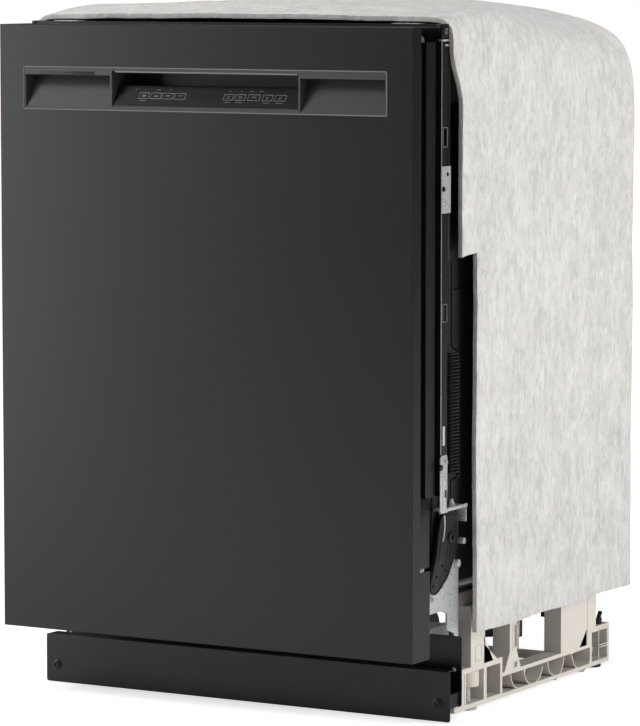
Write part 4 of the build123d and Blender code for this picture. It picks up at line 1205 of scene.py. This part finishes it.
class MakeRacks(bpy.types.Operator):
    """Weld the two wire racks, with their tines, wheel brackets and slides"""

    bl_idname = "dishwasher.make_racks"
    bl_label = "Wire racks"

    def execute(self, context):
        sizes = context.scene.dishwasher_racks
        slide_low, slide_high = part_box("upper_rack_tracks")
        upper_low, upper_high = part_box("upper_rack")
        lower_low, lower_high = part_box("lower_rack")
        # the slides reach past the basket's sides
        half = slide_high.x - 22 * MM
        front, back = lower_low.y, lower_high.y
        foot = 190 * MM
        lower = self.basket(half, (front, back), (foot, lower_high.z), sizes)
        rows = np.arange(front + 96 * MM, back - 30 * MM, 62 * MM)
        tines = self.tines(half - 34 * MM, rows, foot + 7 * MM, sizes.tine, 26 * MM)
        lower.append(wires(tines, sizes.wire))
        axle_end = half + 18 * MM
        for end in ("front", "rear"):
            low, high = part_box(f"lower_rack_wheels_{end}")
            _, y, z = (low + high) / 2
            bracket = slab(
                (half - 1 * MM, y - 7 * MM, z - 6 * MM),
                (half + 3 * MM, y + 7 * MM, foot + 12 * MM),
                edge=2 * MM,
            )
            axle = rod((half, y, z), (axle_end, y, z), 2.9 * MM)
            cap = rod((half + 15.3 * MM, y, z), (axle_end, y, z), 4.6 * MM, edge=0.8 * MM)
            lower += both_sides([bracket, axle, cap])
        done(joined(lower), "lower_wire_rack", "lower_rack", "rack_nylon", ("lower_rack",))
        upper = self.basket(half, (front, back), (upper_low.z + 20 * MM, upper_high.z), sizes)
        rows = np.arange(front + 52 * MM, back - 40 * MM, 48 * MM)
        lines = [
            run
            for side in (-1, 1)
            for run in self.tines(half - 40 * MM, rows, upper_low.z + 24 * MM, 0.75 * sizes.tine, 34 * MM)
            if side * run[0][0] > 40 * MM
        ]
        upper.append(wires(lines, sizes.wire))
        pitch = (back - front - 4 * MM) / 6
        slides = [
            slab(
                (half - 1 * MM, y - 20 * MM, slide_low.z),
                (upper_high.x, y + 20 * MM, slide_high.z),
                edge=2 * MM,
            )
            for y in (front + pitch, back - pitch)
        ]
        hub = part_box("upper_spray_arm")
        middle = (hub[0] + hub[1]) / 2
        upper += both_sides(slides)
        feed = slab(
            (-12 * MM, middle.y - 12 * MM, upper_low.z + 14 * MM),
            (12 * MM, back - 2 * MM, upper_low.z + 23 * MM),
            edge=3 * MM,
        )
        neck_foot, neck_top = (0, middle.y, upper_low.z), (0, middle.y, upper_low.z + 16 * MM)
        upper += [feed, rod(neck_foot, neck_top, 8 * MM, sides=32)]
        done(joined(upper), "upper_wire_rack", "upper_rack", "rack_nylon", ("upper_rack",))
        return {"FINISHED"}

    def basket(self, half, y, z, sizes):
        """Two rims and the crossed wires that hang from them."""
        (front, back), (foot, top) = y, z
        thick = sizes.rim
        x, low, high = half - thick, front + thick, back - thick
        rims = [
            [(-x, low, level), (x, low, level), (x, high, level), (-x, high, level)]
            for level in (top - thick, (foot + top) / 2)
        ]
        pieces = [wires(rims, thick, corner=sizes.bend, closed=True)]
        wire = sizes.wire
        floor = foot + 2 * wire
        wide, long = x + thick - wire, high + thick - wire
        near = low - thick + wire
        runs = []
        rim = top - thick
        for y in np.linspace(low + sizes.bend, high - sizes.bend, 17):
            runs.append([(-wide, y, rim), (-wide, y, floor), (wide, y, floor), (wide, y, rim)])
        level = floor - wire
        for x in np.linspace(sizes.bend - x, x - sizes.bend, 15):
            runs.append([(x, near, rim), (x, near, level), (x, long, level), (x, long, rim)])
        pieces.append(wires(runs, wire, corner=sizes.bend / 2))
        return pieces

    def tines(self, half, rows, foot, rise, gap):
        """Rows of leaning prongs."""
        places = np.arange(-half, half + gap / 2, gap)
        return [[(x, y, foot - 1 * MM), (x, y + 0.12 * rise, foot + rise)] for y in rows for x in places]


class MakeRackWheels(bpy.types.Operator):
    """Mould the spoked wheels of the lower rack"""

    bl_idname = "dishwasher.make_rack_wheels"
    bl_label = "Rack wheels"

    def execute(self, context):
        for end in ("front", "rear"):
            low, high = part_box(f"lower_rack_wheels_{end}")
            centre = Vector((high.x - 5 * MM, (low.y + high.y) / 2, (low.z + high.z) / 2))
            radius = (high.z - low.z) / 2
            tread = radius - 4 * MM
            side, bead, crown = 5 * MM, 3.5 * MM, radius - 1 * MM
            near = [(tread, -bead), (crown, -side), (radius, -bead)]
            far = [(radius, bead), (crown, side), (tread, bead)]
            tyre = turned([*near, *far], centre, ACROSS, steps=40)
            hub_profile = mm_pairs((3.1, -5), (6.2, -5), (6.8, -4), (6.8, 4), (6.2, 5), (3.1, 5))
            hub = turned(hub_profile, centre, ACROSS)
            spokes = []
            for step in range(6):
                out = Vector((0.0, math.cos(step * math.pi / 3), math.sin(step * math.pi / 3)))
                spokes.append(rod(centre + out * 6 * MM, centre + out * (tread + 1 * MM), 1.7 * MM))
            wheels = joined(both_sides([tyre, hub, *spokes]))
            solid = f"lower_rack_wheels_{end}"
            done(wheels, f"spoked_wheels_{end}", f"{end}_wheels", "grey_plastic", (solid,))
        return {"FINISHED"}


class MakeCutleryBasket(bpy.types.Operator):
    """Mould the cutlery basket with its lattice walls"""

    bl_idname = "dishwasher.make_cutlery_basket"
    bl_label = "Cutlery basket"

    def execute(self, context):
        low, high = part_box("silverware_basket")
        bar = 1.0 * MM
        x, front, back = high.x - bar, low.y + bar, high.y - bar
        levels = np.linspace(low.z + 14 * MM, high.z - 14 * MM, 6)
        hoops = [[(-x, front, z), (x, front, z), (x, back, z), (-x, back, z)] for z in levels]
        lattice = wires(hoops, bar, closed=True, sides=0)
        foot, top = low.z + 2 * MM, high.z - 4 * MM
        posts = []
        for place in np.linspace(-x, x, 25):
            posts += [[(place, front, foot), (place, front, top)], [(place, back, foot), (place, back, top)]]
        for place in np.linspace(front, back, 6)[1:-1]:
            for wall in (-x, -x / 3, x / 3, x):
                posts.append([(wall, place, foot), (wall, place, top)])
        for z in levels:
            for wall in (-x / 3, x / 3):
                posts.append([(wall, front, z), (wall, back, z)])
        pieces = [lattice, wires(posts, bar, sides=0)]
        pieces.append(slab((low.x, low.y, low.z), (high.x, high.y, low.z + 2.5 * MM), edge=1 * MM))
        rims = [
            slab((low.x, low.y, high.z - 6 * MM), (high.x, low.y + 3.5 * MM, high.z), edge=1 * MM),
            slab((low.x, high.y - 3.5 * MM, high.z - 6 * MM), (high.x, high.y, high.z), edge=1 * MM),
        ]
        for wall in (low.x, -x / 3 - 1.7 * MM, x / 3 - 1.7 * MM, high.x - 3.5 * MM):
            rims.append(slab((wall, low.y, high.z - 6 * MM), (wall + 3.5 * MM, high.y, high.z), edge=1 * MM))
        done(joined([*pieces, *rims]), "cutlery_basket", "lower_rack", "grey_plastic", ("silverware_basket",))
        return {"FINISHED"}


class MakeSprayNozzles(bpy.types.Operator):
    """Add the nozzles of the two spray arms and the hub cap of the lower one"""

    bl_idname = "dishwasher.make_spray_nozzles"
    bl_label = "Spray arm nozzles"

    def execute(self, context):
        for arm in ("lower_spray_arm", "upper_spray_arm"):
            low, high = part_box(arm)
            middle = (low + high) / 2
            ring = mm_pairs((1.4, -0.5), (3.4, -0.5), (2.6, 1.1), (1.4, 1.1))
            pieces = []
            for step, reach in enumerate((0.24, 0.4, 0.55, 0.7, 0.83, 0.93)):
                for side in (-1, 1):
                    place = (side * reach * high.x, middle.y + side * (6 if step % 2 else -6) * MM, high.z)
                    pieces.append(turned(ring, place, UPWARDS, steps=16))
            if arm == "lower_spray_arm":
                cap = mm_pairs((0.0, -0.5), (19, -0.5), (18, 1.4), (0.0, 1.8))
                pieces.append(turned(cap, (0.0, middle.y, high.z), UPWARDS))
            done(joined(pieces), f"{arm}_nozzles", arm, "grey_plastic")
        return {"FINISHED"}


class MakeTubPressings(bpy.types.Operator):
    """Add the pressed ribs inside the tub and on the door's liner"""

    bl_idname = "dishwasher.make_tub_pressings"
    bl_label = "Tub pressings"

    def execute(self, context):
        low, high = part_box("wash_tub")
        wall = high.x - 1.0 * MM
        lines = []
        for share in (0.18, 0.36, 0.54, 0.72, 0.9):
            y = low.y + share * (high.y - low.y)
            lines.append([(wall, y, low.z + 60 * MM), (wall, y, high.z - 100 * MM)])
        ribs = both_sides([wires(lines, 1.2 * MM, sides=1)])
        back = high.y - 1.0 * MM
        foot, top = low.z + 60 * MM, high.z - 60 * MM
        places = mm(-190, -120, -60, 60, 120, 190)
        across = [[(x, back, foot), (x, back, top)] for x in places]
        done(joined([*ribs, wires(across, 1.2 * MM, sides=1)]), "tub_pressed_ribs", "root", "stainless")
        low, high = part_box("door_liner")
        lid_low, lid_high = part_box("dispenser_lid")
        face = high.y
        loop = [
            (low.x + 40 * MM, face, low.z + 40 * MM),
            (high.x - 40 * MM, face, low.z + 40 * MM),
            (high.x - 40 * MM, face, high.z - 60 * MM),
            (low.x + 40 * MM, face, high.z - 60 * MM),
        ]
        rib = wires([loop], 1.0 * MM, corner=30 * MM, closed=True, sides=1)
        done(rib, "liner_pressed_rib", "door", "stainless")
        middle = (lid_low + lid_high) / 2
        catch = slab(
            (middle.x - 12 * MM, lid_high.y - 0.5 * MM, lid_low.z + 5 * MM),
            (middle.x + 12 * MM, lid_high.y + 2 * MM, lid_low.z + 13 * MM),
            edge=1 * MM,
        )
        grooves = [
            rod((lid_low.x + 12 * MM, lid_high.y, z), (lid_high.x - 12 * MM, lid_high.y, z), 0.8 * MM)
            for z in (middle.z - 6 * MM, middle.z, middle.z + 6 * MM)
        ]
        done(joined([catch, *grooves]), "dispenser_catch", "dispenser_lid", "grey_plastic")
        return {"FINISHED"}


class MakeFeltMarks(bpy.types.Operator):
    """Add the punched tab and the slit near the blanket's hem, the slit a black slab of painted shade"""

    bl_idname = "dishwasher.make_felt_marks"
    bl_label = "Felt marks"

    def execute(self, context):
        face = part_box("insulation_blanket")[1].x
        inside = face - 6 * MM
        punch = slab(
            (inside, -101 * MM, 144 * MM), (face + 0.4 * MM, -92 * MM, 165 * MM), edge=3.5 * MM
        )
        done(punch, "felt_punched_tab", "root", "light_plastic")
        # a black slab in the slit: painted shade
        slit = slab(
            (inside, 215 * MM, 133 * MM), (face + 0.6 * MM, 218 * MM, 151 * MM), edge=1.0 * MM
        )
        done(slit, "felt_slit_painted_shade", "root", "seal_rubber")
        return {"FINISHED"}


class MakeToeScrews(bpy.types.Operator):
    """Make the screws of the toe panel"""

    bl_idname = "dishwasher.make_toe_screws"
    bl_label = "Toe panel screws"

    def execute(self, context):
        low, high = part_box("toe_panel_screws")
        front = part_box("toe_panel")[0].y
        z = (low.z + high.z) / 2
        x = high.x - (high.z - low.z) / 2
        parts = [
            screw_head((x, front, z), (0.0, -1.0, 0.0), 7.0 * MM, 3.4 * MM),
            rod((x, front, z), (x, high.y, z), 2.5 * MM),
        ]
        done(joined(both_sides(parts)), "toe_screws", "root", "black_steel", ("toe_panel_screws",))
        return {"FINISHED"}


class MakeStage(bpy.types.Operator):
    """Set up the floor, the lights and the camera"""

    bl_idname = "dishwasher.make_stage"
    bl_label = "Floor, lights and camera"

    def execute(self, context):
        sizes = context.scene.dishwasher_stage
        context.scene.view_settings.view_transform = "Standard"
        self.floor()
        self.world(context.scene)
        self.light("door_glow", (-1.75, -1.75, 0.95), (-0.1, -0.3, 0.45), (0.8, 3.2), 34.0)
        self.light("pocket_glow", (-1.35, -2.0, 2.7), (0.0, -0.3, 0.8), (1.5, 1.3), 44.0, glossy=False)
        self.light("side_key", (3.6, 0.2, 1.5), (0.2, 0.1, 0.4), (3.0, 2.8), 72.0, glossy=False)
        self.light("base_glow", (2.4, 0.1, 0.35), (0.28, 0.05, 0.06), (1.6, 0.5), 18.0, glossy=False)
        self.light("top_fill", (0.0, 0.4, 3.4), (0.0, 0.1, 0.6), (2.6, 2.6), 44.0)
        clear_selection()
        azimuth, elevation = math.radians(sizes.azimuth), math.radians(sizes.elevation)
        level = math.cos(elevation)
        back = Vector((math.sin(azimuth) * level, -math.cos(azimuth) * level, math.sin(elevation)))
        bpy.ops.object.camera_add(
            location=Vector(sizes.aim) + back * sizes.distance,
            rotation=(-back).to_track_quat("-Z", "Y").to_euler(),
        )
        camera = context.object
        camera.data.lens = sizes.lens
        camera.data.clip_end = 200.0
        context.scene.camera = camera
        return {"FINISHED"}

    def floor(self):
        """A pale floor that brightens to white away from the machine."""
        clear_selection()
        bpy.ops.mesh.primitive_circle_add(vertices=64, radius=120.0, fill_type="NGON")
        floor = bpy.context.object
        floor.name = "studio_floor"
        fixed = {"Roughness": 0.9, "Base Color": even(0.86), "Emission Strength": 1.0}
        made = Finish("pale_floor", fixed)
        distance = made.node("ShaderNodeVectorMath", {"operation": "LENGTH"}, {0: made.place}, output="Value")
        far = made.steps(distance * 0.2, 0.12, 0.6)
        seen = made.node("ShaderNodeLightPath", output="Is Camera Ray")
        glow = made.mix(even(0.62), even(1.0), far)
        made.set("Emission Color", made.mix(even(0.0), glow, seen))
        floor.data.materials.append(made.material)

    def world(self, scene):
        """White behind the machine, and a soft grey room in its reflections."""
        world = bpy.data.worlds.new("studio")
        world.use_nodes = True
        scene.world = world
        tree = world.node_tree
        path = tree.nodes.new("ShaderNodeLightPath")
        mix = tree.nodes.new("ShaderNodeMix")
        mix.data_type = "RGBA"
        mix.inputs[6].default_value = (0.055, 0.055, 0.055, 1.0)
        mix.inputs[7].default_value = (1.0, 1.0, 1.0, 1.0)
        tree.links.new(path.outputs["Is Camera Ray"], mix.inputs[0])
        tree.links.new(mix.outputs[2], tree.nodes["Background"].inputs["Color"])

    def light(self, name, place, aim, size, power, glossy=True):
        """A soft rectangular light, which may be left out of reflections."""
        direction = Vector(aim) - Vector(place)
        clear_selection()
        turn = direction.to_track_quat("-Z", "Y").to_euler()
        bpy.ops.object.light_add(type="AREA", location=place, rotation=turn)
        lamp = bpy.context.object
        lamp.name = name
        lamp.data.shape = "RECTANGLE"
        lamp.data.size, lamp.data.size_y = size
        lamp.data.energy = power
        lamp.visible_glossy = glossy


OPERATORS = (
    FinishModel,
    MakeBlanket,
    MakeSprings,
    MakeTubCoat,
    MakeConsoleLines,
    MakeFlangeDetails,
    MakeHingeDetails,
    MakeBaseDetails,
    MakeFeltMarks,
    MakeToeScrews,
    MakeRacks,
    MakeRackWheels,
    MakeCutleryBasket,
    MakeSprayNozzles,
    MakeTubPressings,
    MakeStage,
)


class DishwasherPanel(bpy.types.Panel):
    """The dishwasher's pieces and sizes in the sidebar"""

    bl_idname = "VIEW3D_PT_dishwasher"
    bl_label = "Dishwasher"
    bl_space_type = "VIEW_3D"
    bl_region_type = "UI"
    bl_category = "Dishwasher"

    def draw(self, context):
        for operator in OPERATORS:
            self.layout.operator(operator.bl_idname)
        for name, group in GROUPS.items():
            box = self.layout.box()
            box.label(text=group.__doc__)
            for setting in group.__annotations__:
                box.prop(getattr(context.scene, name), setting)


CLASSES = (*GROUPS.values(), *OPERATORS, DishwasherPanel)


def register():
    """Adds the classes and the settings."""
    for made in CLASSES:
        bpy.utils.register_class(made)
    for name, group in GROUPS.items():
        setattr(bpy.types.Scene, name, PointerProperty(type=group))


def unregister():
    """Takes the settings and the classes away."""
    for name in GROUPS:
        delattr(bpy.types.Scene, name)
    for made in reversed(CLASSES):
        bpy.utils.unregister_class(made)


def main():
    """Runs every operator in order."""
    register()
    for operator in OPERATORS:
        group, name = operator.bl_idname.split(".")
        getattr(getattr(bpy.ops, group), name)()


if __name__ == "__main__":
    main()
